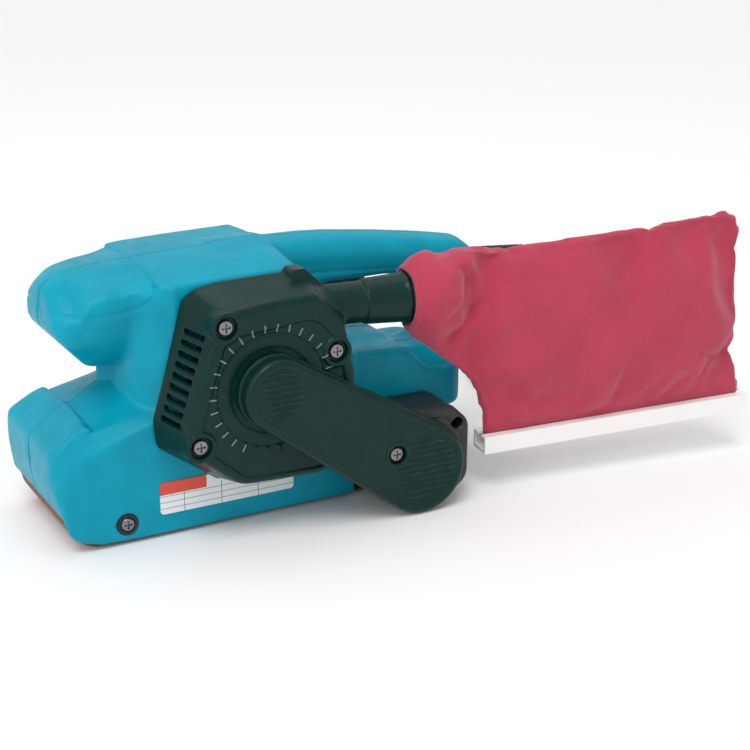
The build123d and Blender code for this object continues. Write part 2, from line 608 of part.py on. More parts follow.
def mouth_line(s, rise):
    """Point beside the bag's mouth, which falls away evenly towards the rear."""
    return (s, BAG_MOUTH_Z + BAG_MOUTH_SLOPE * (s - 80) + rise)


def mouth_band(near, far, low, high, thick):
    """Even band along the bag's mouth, between two distances and two rises."""
    corners = [mouth_line(near, low), mouth_line(near, high), mouth_line(far, high), mouth_line(far, low)]
    return plane_solid(corners, thick)


def dust_bag_parts():
    """Seal and collar on the outlet, the cloth bag and the strip that closes it."""
    flange_end = CUFF_START + 1.6
    bore = rod(7.4, outlet_point(NOZZLE_LENGTH - 15), outlet_point(CUFF_END + 1))
    seal = rod(SPIGOT_R, outlet_point(NOZZLE_LENGTH - 14), outlet_point(CUFF_START + 0.5))
    seal += rod(12, outlet_point(CUFF_START), outlet_point(flange_end))
    save(seal - bore, "bag_seal")
    collar = rod(CUFF_R, outlet_point(CUFF_START + 0.2), outlet_point(CUFF_END))
    collar -= rod(12 + RUNNING, outlet_point(CUFF_START), outlet_point(flange_end + RUNNING))
    collar -= rod(9, outlet_point(CUFF_START), outlet_point(CUFF_END + 1))
    save(collar, "bag_collar")
    cloth = plane_solid(bag_outline(), BAG_THICK)
    filled = rod(CUFF_R, outlet_point(CUFF_START), outlet_point(CUFF_END))
    bag = cloth + rod(CUFF_R + 1.3, outlet_point(CUFF_START + 0.2), outlet_point(CUFF_END + 6)) - filled
    bag -= mouth_band(60, 270, -30, 0.4, BAG_THICK + 2)
    bag += mouth_band(88, 244, -4, 1, 3.0)
    bag += mouth_band(88, 244, 0.6 + STRIP_WALL - STRIP_HEIGHT, -0.6 - STRIP_WALL, 8.0)
    save(bag, "dust_bag")
    strip = mouth_band(83.4, 250.8, -STRIP_HEIGHT, 0, STRIP_THICK)
    strip -= mouth_band(82, 252, STRIP_WALL - STRIP_HEIGHT, -STRIP_WALL, STRIP_THICK - 2 * STRIP_WALL)
    strip -= mouth_band(82, 252, -STRIP_WALL - 1, 1, 5.0)
    save(strip, "bag_strip")


def plane_solid(outline, thick):
    """Outline in the bag's plane, given equal thickness each side."""
    face = make_face(Polyline(*[bag_frame(s, z) for s, z in outline], close=True))
    yaw = math.radians(NOZZLE_YAW)
    out = Vector(math.sin(yaw), math.cos(yaw), 0)
    return extrude(face, amount=thick / 2, dir=out, both=True)


# ---------------------------------------------------------------- mains cord

def cord_parts():
    """Guard, hanging lead, wound coil with its tie, and the plug."""
    root = Vector(*GUARD_START)
    heading = (Vector(*CORD_ROUTE[0]) - root).normalized()
    guard = rod(8.0, root - heading * 9, root - heading * 5)
    guard += rod(6.4, root - heading * 5, root + heading)
    guard += rod(6.4, root + heading, CORD_ROUTE[0], 4.6)
    save(guard, "cord_guard")
    radii = []
    for before, point, after in zip(CORD_ROUTE, CORD_ROUTE[1:], CORD_ROUTE[2:]):
        first = Vector(*point) - Vector(*before)
        second = Vector(*after) - Vector(*point)
        half_turn = math.radians(first.get_angle(second) / 2)
        radii.append(0.45 * min(first.length, second.length) / math.tan(half_turn))
    print("cord radii", [round(r) for r in radii])
    path = FilletPolyline(*CORD_ROUTE, radius=radii)
    section = Plane(origin=CORD_ROUTE[0], z_dir=path % 0) * Circle(CORD_R)
    lead = sweep(section, path=path)
    print("lead volume", round(lead.volume), "section times length", round(math.pi * CORD_R ** 2 * path.length))
    save(lead, "power_cord")
    cx, cy = COIL_CENTRE
    top = TIE_THICK + COIL_HEIGHT
    coil = rod(COIL_OUTER_R, (cx, cy, TIE_THICK), (cx, cy, top))
    coil -= rod(COIL_INNER_R, (cx, cy, -1), (cx, cy, top + 1))
    save(coil, "cord_coil")
    band = block((cx - 4, cy + COIL_INNER_R - TIE_THICK, 0), (cx + 4, cy + COIL_OUTER_R + TIE_THICK, top + TIE_THICK))
    band -= block((cx - 5, cy + COIL_INNER_R, TIE_THICK), (cx + 5, cy + COIL_OUTER_R, top))
    save(band, "cord_tie")
    plug_x = cx + PLUG_OFFSET
    middle = top + PLUG_HEIGHT / 2
    relief = rod(4.2, (plug_x, cy + 25, top + 1.5), (plug_x, cy + 8, middle), 6.2)
    body = block((plug_x - 14, cy - 26, top), (plug_x + 14, cy + 9, top + PLUG_HEIGHT))
    save(relief + fillet(body.edges(), 4), "mains_plug")
    pins = []
    for side in (-1, 1):
        x = plug_x + side * PIN_PITCH / 2
        pin = rod(PIN_R, (x, cy - 26, middle), (x, cy - 45, middle))
        pins.append(fillet(pin.edges().sort_by(Axis.Y)[0], 1.2))
    save(Compound(children=pins), "plug_pins")


save_order = [sanding_parts, motor_parts, drive_side_parts, control_parts, dust_bag_parts, cord_parts]
shell = body_shell()
save(shell & block((-200, -200, -50), (300, 0, 200)), "housing_left")
save(shell & block((-200, 0, -50), (300, 200, 200)), "housing_right")
for group in save_order:
    group()
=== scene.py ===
"""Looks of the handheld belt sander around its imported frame: moulded shells, cloth bag, mains lead."""

import math

import bpy
import bmesh
import numpy as np
import openvdb
from mathutils import Matrix, Vector


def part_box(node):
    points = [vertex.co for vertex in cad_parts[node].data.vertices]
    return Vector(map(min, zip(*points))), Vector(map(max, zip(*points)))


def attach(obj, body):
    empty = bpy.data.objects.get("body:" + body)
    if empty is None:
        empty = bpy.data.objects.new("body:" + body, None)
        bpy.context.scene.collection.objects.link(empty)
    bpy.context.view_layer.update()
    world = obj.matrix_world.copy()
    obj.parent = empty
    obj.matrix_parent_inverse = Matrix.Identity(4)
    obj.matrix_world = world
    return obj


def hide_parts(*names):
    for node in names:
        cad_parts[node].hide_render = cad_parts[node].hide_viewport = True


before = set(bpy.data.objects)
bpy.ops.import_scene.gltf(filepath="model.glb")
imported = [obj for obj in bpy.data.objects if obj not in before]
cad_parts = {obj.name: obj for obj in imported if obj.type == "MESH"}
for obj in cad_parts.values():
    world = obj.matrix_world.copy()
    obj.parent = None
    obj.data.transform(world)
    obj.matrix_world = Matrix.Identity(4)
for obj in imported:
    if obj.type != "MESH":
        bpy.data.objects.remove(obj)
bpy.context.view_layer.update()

MM = 0.001
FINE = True

# shapes are in millimetres, lamps and shader nodes in metres; these are centres in X and Z
MOTOR_AXIS = (0.0, 81.5)
FRONT_AXIS = (-82.0, 18.5)
REAR_AXIS = (82.0, 22.5)
TICKS = 30
TICK_RING = 32.6


def put(name, data):
    """New object in the scene."""
    piece = bpy.data.objects.new(name, data)
    bpy.context.scene.collection.objects.link(piece)
    return piece


def point(thing, place, direction):
    """Stand a camera or lamp at place, in metres, looking along direction."""
    thing.location = place
    thing.rotation_mode = "QUATERNION"
    thing.rotation_quaternion = direction.to_track_quat("-Z", "Y")


# ---- camera, floor and light

CAMERA_AIM = Vector((98.3, 0.0, 50.8)) * MM
CAMERA_TURN = math.radians(-28.7)
CAMERA_LIFT = math.radians(19.3)
CAMERA_DISTANCE = 0.928   # metres
CAMERA_LENS = 77.66


def add_camera():
    """Long-lens view of the drive side, from the left front and a little above."""
    level = math.cos(CAMERA_LIFT)
    back = Vector((math.sin(CAMERA_TURN) * level, -math.cos(CAMERA_TURN) * level, math.sin(CAMERA_LIFT)))
    data = bpy.data.cameras.new("camera")
    data.lens = CAMERA_LENS
    data.sensor_width = 36.0
    data.clip_start = 0.01
    data.clip_end = 20.0
    camera = put("camera", data)
    point(camera, CAMERA_AIM + back * CAMERA_DISTANCE, -back)
    bpy.context.scene.camera = camera


def add_lamp(name, kind, place, aim, size, power):
    """Soft lamp at place, turned to aim, in metres; size is radians across for a sun."""
    data = bpy.data.lights.new(name, kind)
    if kind == "SUN":
        data.angle = size
    else:
        data.size = size
    data.energy = power
    point(put(name, data), place, Vector(aim) - Vector(place))


def add_studio():
    """White floor, even sky, a broad sun from the upper left and two soft boxes."""
    mesh = bpy.data.meshes.new("floor")
    reach = 8.0
    mesh.from_pydata([(-reach, -reach, 0), (reach, -reach, 0), (reach, reach, 0), (-reach, reach, 0)], [],
                     [(0, 1, 2, 3)])
    floor = put("floor", mesh)
    material = bpy.data.materials.new("floor_white")
    material.use_nodes = True
    shader = material.node_tree.nodes["Principled BSDF"]
    shader.inputs["Base Color"].default_value = (0.93, 0.93, 0.93, 1)
    shader.inputs["Roughness"].default_value = 0.9
    shader.inputs["Specular IOR Level"].default_value = 0.1
    mesh.materials.append(material)
    world = bpy.data.worlds.new("sky")
    world.use_nodes = True
    world.node_tree.nodes["Background"].inputs["Color"].default_value = (1, 1, 1, 1)
    world.node_tree.nodes["Background"].inputs["Strength"].default_value = 0.66
    bpy.context.scene.world = world
    aim = (0.05, 0.0, 0.06)
    add_lamp("sun", "SUN", (-0.45, -0.55, 1.5), aim, math.radians(28), 1.15)
    add_lamp("left_box", "AREA", (-1.1, -0.5, 0.7), aim, 0.7, 3.0)
    add_lamp("top_box", "AREA", (0.1, 0.3, 1.3), aim, 0.8, 2.5)
    bpy.context.scene.view_settings.view_transform = "Standard"


add_camera()
add_studio()


# ---- solid modelling by distance fields

class Grid:
    """Points on a regular grid over a box, in millimetres; x, y and z broadcast together."""

    def __init__(self, low, high, step):
        self.low = low
        self.step = step
        lines = [np.arange(a, b + step, step, dtype=np.float32) for a, b in zip(low, high)]
        self.x = lines[0].reshape(-1, 1, 1)
        self.y = lines[1].reshape(1, -1, 1)
        self.z = lines[2].reshape(1, 1, -1)


def arcs(corners):
    """Closed outline from corners, each (u, v, radius), with every corner turned into an arc."""
    out = []
    for before, here, after in zip(corners[-1:] + corners[:-1], corners, corners[1:] + corners[:1]):
        centre = Vector(here[:2])
        to_a = Vector(before[:2]) - centre
        to_b = Vector(after[:2]) - centre
        half = to_a.angle(to_b) / 2
        if here[2] < 0.05 or half > math.radians(89.5):
            out.append(tuple(centre))
            continue
        reach = min(here[2] / math.tan(half), 0.48 * to_a.length, 0.48 * to_b.length)
        middle = (to_a.normalized() + to_b.normalized()).normalized()
        hub = centre + middle * reach / math.cos(half)
        start = centre + to_a.normalized() * reach - hub
        end = centre + to_b.normalized() * reach - hub
        turn = start.angle_signed(end)
        steps = max(2, int(abs(math.degrees(turn)) / 9))
        for i in range(steps + 1):
            arm = start.copy()
            arm.rotate(Matrix.Rotation(-turn * i / steps, 2))
            out.append(tuple(hub + arm))
    return out


def outline(corners, u, v):
    """Signed distance from (u, v) to a closed outline of (u, v, radius) corners, below zero inside."""
    points = arcs(corners)
    nearest = None
    inside = False
    for (au, av), (bu, bv) in zip(points, points[1:] + points[:1]):
        eu, ev = bu - au, bv - av
        length = eu * eu + ev * ev
        if length < 1e-9:
            continue
        wu, wv = u - au, v - av
        t = np.clip((wu * eu + wv * ev) / length, 0, 1)
        gap = (wu - eu * t) ** 2 + (wv - ev * t) ** 2
        nearest = gap if nearest is None else np.minimum(nearest, gap)
        crosses = (v < av) != (v < bv)
        inside = inside ^ (crosses & (u < au + eu * (v - av) / (ev or 1e-9)))
    return (np.sqrt(nearest) * np.where(inside, -1, 1)).astype(np.float32)


def join(a, b, radius=0.0):
    """Union of two fields, with a hollow fillet of this radius between them."""
    if radius == 0:
        return np.minimum(a, b)
    u = np.maximum(radius - a, 0)
    v = np.maximum(radius - b, 0)
    return np.maximum(radius, np.minimum(a, b)) - np.sqrt(u * u + v * v)


def meet(a, b, radius=0.0):
    """What two fields share, with the edge between them rounded."""
    return -join(-a, -b, radius)


def cut(a, b, radius=0.0):
    """Field a without field b, with the edge rounded."""
    return -join(-a, b, radius)


def slab(v, low, high):
    """Distance to the space between two parallel planes."""
    return np.maximum(low - v, v - high)


def bar(g, start, end, radius, end_radius=None):
    """Round bar from start to end with flat ends; it tapers where end_radius is given."""
    a = Vector(start)
    run = Vector(end) - a
    n = run.normalized()
    px, py, pz = g.x - a.x, g.y - a.y, g.z - a.z
    along = px * n.x + py * n.y + pz * n.z
    out = np.sqrt(np.maximum(px * px + py * py + pz * pz - along * along, 0))
    grow = 0.0 if end_radius is None else (end_radius - radius) / run.length
    return np.maximum(out - radius - grow * along, np.maximum(-along, along - run.length))


def across(g, axis, radius):
    """Endless round bar across the tool about a point given in X and Z."""
    return np.sqrt((g.x - axis[0]) ** 2 + (g.z - axis[1]) ** 2) - radius


def egg(g, a, ra, b, rb):
    """Endless bar across the tool whose side view is two circles and their tangents."""
    run = math.hypot(b[0] - a[0], b[1] - a[1])
    nx, nz = (b[0] - a[0]) / run, (b[1] - a[1]) / run
    px, pz = g.x - a[0], g.z - a[1]
    along = px * nx + pz * nz
    aside = np.abs(px * nz - pz * nx)
    lean = (ra - rb) / run
    flat = math.sqrt(1 - lean * lean)
    k = along * flat - aside * lean
    low = np.sqrt(aside ** 2 + along ** 2) - ra
    high = np.sqrt(aside ** 2 + (along - run) ** 2) - rb
    side = aside * flat + along * lean - ra
    return np.where(k < 0, low, np.where(k > flat * run, high, side))


def skin(name, field, g, adaptivity=0.0):
    """Closed smooth-shaded mesh object on the zero surface of a field."""
    box = openvdb.FloatGrid(3.0)
    box.copyFromArray(np.ascontiguousarray(np.clip(field, -3, 3), dtype=np.float32))
    points, triangles, quads = box.convertToPolygons(isovalue=0.0, adaptivity=adaptivity)
    points = (points * g.step + np.array(g.low)) * MM
    mesh = bpy.data.meshes.new(name)
    mesh.from_pydata(points.tolist(), [], quads.tolist() + triangles.tolist())
    mesh.validate()
    shell = bmesh.new()
    shell.from_mesh(mesh)
    if shell.calc_volume(signed=True) < 0:
        bmesh.ops.reverse_faces(shell, faces=shell.faces)
    shell.to_mesh(mesh)
    shell.free()
    mesh.shade_smooth()
    return put(name, mesh)


# ---- materials

class Nodes:
    """Short way to add and link shader nodes in one material."""

    def __init__(self, name):
        self.material = bpy.data.materials.new(name)
        self.material.use_nodes = True
        self.tree = self.material.node_tree
        self.shader = self.tree.nodes["Principled BSDF"]
        self.place = self.add("ShaderNodeTexCoord").outputs["Object"]

    def add(self, kind, **settings):
        """New node, with these settings."""
        node = self.tree.nodes.new(kind)
        for key, value in settings.items():
            setattr(node, key, value)
        return node

    def feed(self, socket, value):
        """Link a socket to an output, or set its own value."""
        if isinstance(value, bpy.types.NodeSocket):
            self.tree.links.new(value, socket)
        else:
            socket.default_value = value

    def look(self, name, value):
        """Set or link one input of the surface shader."""
        self.feed(self.shader.inputs[name], value)

    def noise(self, scale, detail=3.0, rough=0.55, place=None):
        """Noise from 0 to 1, with scale features to the metre."""
        node = self.add("ShaderNodeTexNoise")
        self.feed(node.inputs["Vector"], place or self.place)
        node.inputs["Scale"].default_value = scale
        node.inputs["Detail"].default_value = detail
        node.inputs["Roughness"].default_value = rough
        return node.outputs["Fac"]

    def ramp(self, value, low, high, low_out=0.0, high_out=1.0):
        """Soft step from low_out to high_out as the value goes from low to high."""
        node = self.add("ShaderNodeMapRange")
        node.interpolation_type = "SMOOTHSTEP"
        self.feed(node.inputs["Value"], value)
        for key, number in zip(("From Min", "From Max", "To Min", "To Max"), (low, high, low_out, high_out)):
            node.inputs[key].default_value = number
        return node.outputs["Result"]

    def calc(self, kind, a, b=0.0):
        """One step of arithmetic."""
        node = self.add("ShaderNodeMath", operation=kind)
        for socket, value in zip(node.inputs, (a, b)):
            self.feed(socket, value)
        return node.outputs[0]

    def mix(self, factor, a, b):
        """Colour a at 0, colour b at 1."""
        node = self.add("ShaderNodeMix", data_type="RGBA")
        self.feed(node.inputs["Factor"], factor)
        self.feed(node.inputs["A"], a)
        self.feed(node.inputs["B"], b)
        return node.outputs["Result"]

    def axes(self):
        """Object coordinates, in metres."""
        node = self.add("ShaderNodeSeparateXYZ")
        self.feed(node.inputs[0], self.place)
        return node.outputs["X"], node.outputs["Y"], node.outputs["Z"]

    def edges(self):
        """1 on sharp outer edges, 0 on flats and in hollows."""
        return self.ramp(self.add("ShaderNodeNewGeometry").outputs["Pointiness"], 0.505, 0.56)

    def bump(self, height, strength, distance, under=None):
        """Normal raised by a height from 0 to 1, this many metres deep, over another normal."""
        node = self.add("ShaderNodeBump")
        self.feed(node.inputs["Height"], height)
        node.inputs["Strength"].default_value = strength
        node.inputs["Distance"].default_value = distance
        if under is not None:
            self.feed(node.inputs["Normal"], under)
        return node.outputs["Normal"]


def shade(colour, share):
    """The same colour, lighter above 1 and darker below it."""
    return tuple(min(1.0, c * share) for c in colour[:3]) + (1.0,)


def moulding(n, colour, rough, specular, uneven):
    """Set a moulding's gloss and fine grain, and give its faintly mottled colour."""
    n.look("Roughness", n.ramp(n.noise(140, 4), 0.25, 0.75, rough - 0.06, rough + 0.08))
    n.look("Specular IOR Level", specular)
    n.look("Normal", n.bump(n.noise(1400, 2), 0.5, 0.00004))
    mottle = n.ramp(n.noise(55, 4), 0.3, 0.7)
    return n.mix(mottle, shade(colour, 1 - uneven), shade(colour, 1 + uneven))


def plastic(name, colour, rough, wear=0.35, specular=0.5, uneven=0.07):
    """Moulded plastic with paler worn edges."""
    n = Nodes(name)
    base = moulding(n, colour, rough, specular, uneven)
    scuffs = n.ramp(n.noise(230, 5, 0.7), 0.42, 0.7)
    worn = n.calc("MULTIPLY", n.calc("MULTIPLY", n.edges(), scuffs), wear)
    pale = tuple(c * 0.6 + 0.22 for c in colour[:3]) + (1.0,)
    n.look("Base Color", n.mix(worn, base, pale))
    return n.material


def metal(name, colour, rough, streak=(60, 60, 900)):
    """Bare or plated metal with fine directional marks."""
    n = Nodes(name)
    stretch = n.add("ShaderNodeMapping")
    n.feed(stretch.inputs["Vector"], n.place)
    stretch.inputs["Scale"].default_value = streak
    marks = n.noise(1.0, 4, 0.6, stretch.outputs["Vector"])
    base = n.mix(n.ramp(marks, 0.3, 0.7), shade(colour, 0.8), shade(colour, 1.08))
    grime = n.ramp(n.noise(320, 4), 0.5, 0.75, 0.0, 0.2)
    n.look("Base Color", n.mix(grime, base, shade(colour, 0.45)))
    n.look("Metallic", 1.0)
    n.look("Roughness", n.ramp(marks, 0.2, 0.8, rough, rough + 0.16))
    n.look("Normal", n.bump(marks, 0.25, 0.00003))
    return n.material


def rubber(name, colour):
    """Matt rubber or flexible vinyl with a little bloom."""
    n = Nodes(name)
    bloom = n.ramp(n.noise(90, 5, 0.65), 0.4, 0.8, 0.0, 0.5)
    n.look("Base Color", n.mix(bloom, shade(colour, 1), shade(colour, 1.9)))
    n.look("Roughness", n.ramp(n.noise(300, 3), 0.3, 0.7, 0.52, 0.72))
    n.look("Normal", n.bump(n.noise(2200, 2), 0.4, 0.00003))
    return n.material


TEAL = plastic("teal_moulding", (0.0, 0.305, 0.43), 0.4, wear=0.12, specular=0.17)
DARK_COLOUR = (0.002, 0.026, 0.022)
DARK_ROUGH = 0.3
DARK_SPECULAR = 0.2
DARK = plastic("dark_moulding", DARK_COLOUR, DARK_ROUGH, wear=0.16, specular=DARK_SPECULAR)
BLACK = plastic("black_moulding", (0.012, 0.013, 0.014), 0.4, wear=0.25)
WHITE = plastic("white_extrusion", (0.9, 0.9, 0.885), 0.33, wear=0.0, uneven=0.01)
RUBBER = rubber("black_vinyl", (0.012, 0.012, 0.013))
STEEL = metal("ground_steel", (0.62, 0.62, 0.64), 0.24)
ZINC = metal("zinc_plate", (0.72, 0.72, 0.70), 0.26)
# zinc plate darkened for the screws: the darkness is painted shade of the recesses they sit in
SHADED_SCREW_ZINC = metal("screw_zinc_painted_shade", (0.26, 0.27, 0.27), 0.2)
ALLOY = metal("cast_alloy", (0.55, 0.56, 0.57), 0.42, (220, 220, 260))
COPPER = metal("winding_copper", (0.72, 0.33, 0.17), 0.34, (900, 60, 60))
BRASS = metal("drawn_brass", (0.72, 0.55, 0.25), 0.28)


def printed_ticks():
    """Dark moulding with a ring of pale scale ticks on its outer face, about the motor's axis."""
    n = Nodes("dark_moulding_with_scale")
    ring = TICK_RING * MM
    x, y, z = n.axes()
    up = n.calc("SUBTRACT", z, MOTOR_AXIS[1] * MM)
    reach = n.calc("SQRT", n.calc("ADD", n.calc("MULTIPLY", x, x), n.calc("MULTIPLY", up, up)))
    turn = n.calc("ARCTAN2", up, x)
    share = n.calc("FRACT", n.calc("ADD", n.calc("MULTIPLY", turn, TICKS / (2 * math.pi)), 0.5))
    swing = n.calc("MULTIPLY", n.calc("ABSOLUTE", n.calc("SUBTRACT", share, 0.5)), 2 * math.pi * ring / TICKS)
    narrow = n.calc("LESS_THAN", swing, 0.42 * MM)
    on_ring = n.calc("LESS_THAN", n.calc("ABSOLUTE", n.calc("SUBTRACT", reach, ring)), 2.1 * MM)
    on_face = n.calc("LESS_THAN", y, -70.8 * MM)
    above_cover = n.calc("GREATER_THAN", n.calc("SUBTRACT", up, n.calc("MULTIPLY", x, 0.55)), -22 * MM)
    tick = narrow
    for limit in (on_ring, on_face, above_cover):
        tick = n.calc("MULTIPLY", tick, limit)
    base = moulding(n, DARK_COLOUR, DARK_ROUGH, DARK_SPECULAR, 0.07)
    n.look("Base Color", n.mix(tick, base, (0.16, 0.24, 0.22, 1)))
    return n.material


TICKED = printed_ticks()


def dress(piece, body, slot, material, *nodes):
    """Give a new piece its finish, its body, and the CAD nodes that it stands for."""
    piece.data.materials.clear()
    piece.data.materials.append(material)
    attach(piece, body)
    if nodes:
        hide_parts(*nodes)
    return piece


# ---- body shell

VOXEL = 0.75 if FINE else 1.6
SEAM_GAP = 0.06
SEAM_ROUND = 0.55
HALF_WIDTH = 44.0
HANDLE_HALF = 16.5
GROMMET_AXIS = (-70, 11.5)
BRUSH_CAPS = (48.5, MOTOR_AXIS[1])   # Y and Z


def mirrored(near):
    """Plan outline from its corners on the -Y side, front to rear."""
    return near + [(x, -y, r) for x, y, r in reversed(near)]


def along(g, stations, values):
    """Value read along X from a few stations, straight between them."""
    return np.interp(g.x, stations, values).astype(np.float32)


def roof(g):
    """Distance above the crowned top: a crest along the seam that falls to both sides."""
    crest = along(g, (-100, -97, -95.3, -90, -82.8, -68.9, -46.5, -16, 25.2, 60),
                  (108, 124, 129.6, 133.4, 136.4, 138.3, 139.7, 140.7, 141.3, 141.6))
    stations = (-97, -86, -79, -70, -63, -52, -47.2, -45.8)
    drive_side = along(g, stations, (22, 19.8, 12.4, 10.1, 10.1, 7.6, 5.6, 3.4))
    open_side = along(g, stations, (16, 8, 5, 4, 3.6, 3, 2.4, 1.2))
    fall = np.where(g.y < 0, drive_side, open_side) * 0.001
    return (g.z - crest + fall * g.y * g.y) / np.sqrt(1 + (2 * fall * g.y) ** 2)


def cap_line(g):
    """Height of the line round the grip's cap."""
    return along(g, (-98, -88.5, -79.8, -71, -63, -53.4, -49.3, -46.5),
                 (121.5, 120, 119.5, 119.4, 120.4, 122.6, 126.4, 132.5))


def grip(g, side):
    """Front grip: a knob with a low crown whose underside tapers like a hull."""
    plan = outline(mirrored([(-97, -29.5, 19), (-62, -34.5, 14), (-50, -36, 4), (-30, -36, 0)]), g.x, g.y)
    plan = plan + 0.3 * np.maximum(g.z - cap_line(g), 0)
    profile = outline([(-98.2, 112.5, 5), (-96.5, 127.4, 5), (-100, 160, 0), (-28, 160, 0), (-28, 92, 0),
                       (-63, 86.2, 5), (-74.5, 86.2, 8)], g.x, g.z)
    lobe = outline([(-1, 85.6, 0), (12, 86.5, 8), (22, 95, 16), (28.5, 105, 16), (33.2, 119, 12),
                    (37, 145, 0), (-1, 145, 0)], side, g.z)
    return meet(meet(plan, profile, 3), lobe, 4)


def motor_cover(g):
    """Tall middle of the body, square at the drive side and a little narrower at the open side."""
    near = [(-61, -12, 8), (-57, -31, 12), (-46.5, -40.5, 5), (-40, -44, 3), (44, -44, 2)]
    far = [(44, 42, 3), (-37, 42, 6), (-48, 38.5, 8), (-57, 30, 10), (-61, 12, 8)]
    plan = outline(near + far, g.x, g.y)
    rear = outline([(-70, 52, 0), (-70, 150, 0), (28.5, 150, 0), (28.5, 138, 1), (35.5, 118, 8), (42, 100, 8),
                    (42, 52, 0)], g.x, g.z)
    return meet(plan, rear, 2)


def neck(g):
    """Wedge-fronted post between the grip and the nose."""
    plan = outline([(-68, 0, 1), (-54, -13.5, 0), (-46, -13.5, 0), (-46, 13.5, 0), (-54, 13.5, 0)], g.x, g.y)
    return meet(plan, slab(g.z, 68, 96))


def nose_and_skirt(g, side):
    """Low front over the belt's front roller, and the long skirt on the drive side."""
    profile = outline([(-103.3, 20, 1), (-107, 39, 8), (-106.4, 53, 12), (-92, 63.2, 14), (-86.5, 65.2, 3),
                       (-58, 81, 0), (62, 81, 0), (62, 1.7, 0), (-66, 2.0, 20), (-84, 2.6, 14),
                       (-99, 7, 12)], g.x, g.z)
    far_side = [(62, HALF_WIDTH, 0), (-102, HALF_WIDTH, 8), (-107, 37, 8)]
    square = outline([(-107, -39.5, 4), (-102.6, -HALF_WIDTH, 4), (62, -HALF_WIDTH, 0)] + far_side, g.x, g.y)
    chamfered = outline([(-107, -31.5, 12), (-96, -HALF_WIDTH, 12), (62, -HALF_WIDTH, 0)] + far_side,
                        g.x, g.y)
    share = np.clip((g.z - 24) / 22, 0, 1)
    plan = (1 - share) * square + share * chamfered
    crease = 61.5 + 0.219 * (g.x + 85)
    centre = 64.4 + 0.62 * (g.x + 86.5)
    deck = g.z - np.where(g.x > -86.5, centre + (crease - centre) * side / 37, centre + 40)
    drop = np.maximum(crease - (51 + 0.37 * (g.x + 88)), 2)
    shoulder = ((side - 37) * drop + (g.z - crease) * 7) / np.sqrt(49 + drop * drop)
    body = meet(profile, plan, 2)
    body = meet(body, deck * 0.85, 0.6)
    body = meet(body, shoulder, 1.0)
    ridge = np.sqrt((g.x + 85.6) ** 2 + (g.z - 64.6 + 3.0 * side / 37) ** 2) - 2.3
    return join(body, meet(ridge, side - 36.5, 1.0), 0.4)


def rear_hood(g):
    """Cover over the drive roller, falling towards the open side."""
    plan = outline([(36, -44, 0), (127, -44, 10), (141, -22, 14), (141, 26, 14), (128, 42, 12), (36, 42, 0)],
                   g.x, g.y)
    profile = outline([(36, 42, 0), (36, 84, 0), (58, 83.4, 20), (82, 81.6, 20), (97, 79.5, 9),
                       (107, 68.5, 9), (118, 66, 10), (146, 66, 0), (146, 46, 3), (132, 42, 3)], g.x, g.z)
    slope = (g.z - 82.6 + 0.62 * np.maximum(g.y - 10, 0)) / 1.16
    return meet(meet(plan, profile, 4), slope, 3)


def handle(g, side):
    """Closed rear loop handle with a rounded back."""
    raised = g.z + 0.016 * side * side
    outer = outline([(0, 141.2, 0), (25.2, 141.4, 0), (52, 140.8, 20), (67, 139.8, 30), (99, 135.9, 60),
                     (128, 131.6, 30), (149, 127.6, 8), (161.5, 117.5, 8), (162, 106, 12), (157, 92, 20),
                     (146, 77, 14), (141, 66, 8), (141, 50, 0), (0, 50, 0)], g.x, raised)
    opening = outline([(49, 113, 9), (62, 114.5, 14), (97, 114.2, 20), (124, 111, 12), (133, 98, 20),
                       (132, 80, 12), (124, 67.5, 12), (106, 67.5, 14), (93, 79, 16), (50, 83.5, 6)],
                      g.x, g.z)
    ring = meet(outer, side - HANDLE_HALF, 8)
    return cut(ring, opening, 5)


def loop_room(g):
    """Space for the sanding loop, open below, at the front lip and to the open side."""
    wall = -HALF_WIDTH + 2.7
    room = egg(g, FRONT_AXIS, 20.5, REAR_AXIS, 24.5)
    room = np.minimum(room, meet(slab(g.x, -82, 112), slab(g.z, -9, 25)))
    room = np.minimum(room, meet(slab(g.x, -115, -82), slab(g.z, -9, 20)))
    room = meet(room, wall - g.y)
    side_mouth = outline([(-101, -5, 0), (-102, 24, 0), (-97, 40, 5), (-80, 45.5, 8), (84, 50.5, 20),
                          (108, 41, 8), (150, 38, 0), (150, -5, 0)], g.x, g.z)
    return np.minimum(room, meet(side_mouth, 36.5 - g.y))


def inner_rooms(g):
    """Hollows for the motor, the switch and the leads."""
    motor = meet(across(g, MOTOR_AXIS, 33.6), slab(g.y, -60, 70))
    loft = meet(meet(slab(g.x, -42, 28), slab(g.y, -34, 34)), slab(g.z, 108, 130))
    grip_room = meet(meet(slab(g.x, -86, -50), slab(g.y, -16, 16)), slab(g.z, 106, 124))
    switch = outline([(58, 118, 0), (58, 135, 0), (84, 133.5, 0), (102, 131, 0), (118, 128, 0),
                      (118, 118, 0)], g.x, g.z)
    switch = meet(switch, slab(g.y, -11, 11))
    trigger_slot = meet(meet(slab(g.x, 57, 92), slab(g.y, -7.2, 7.2)), slab(g.z, 104, 121))
    lead_way = bar(g, (114, 0, 123), (150, 0, 115), 5.5)
    guard_seat = bar(g, (146, 0, 112.8), (168, 0, 112.2), 8.2)
    space = motor
    for room in (loft, grip_room, switch, trigger_slot, lead_way, guard_seat):
        space = np.minimum(space, room)
    return space


def groove(field, line, width, depth):
    """Soft line pressed into a surface where the second field is zero."""
    return field + depth * np.exp(-(line / width) ** 2)


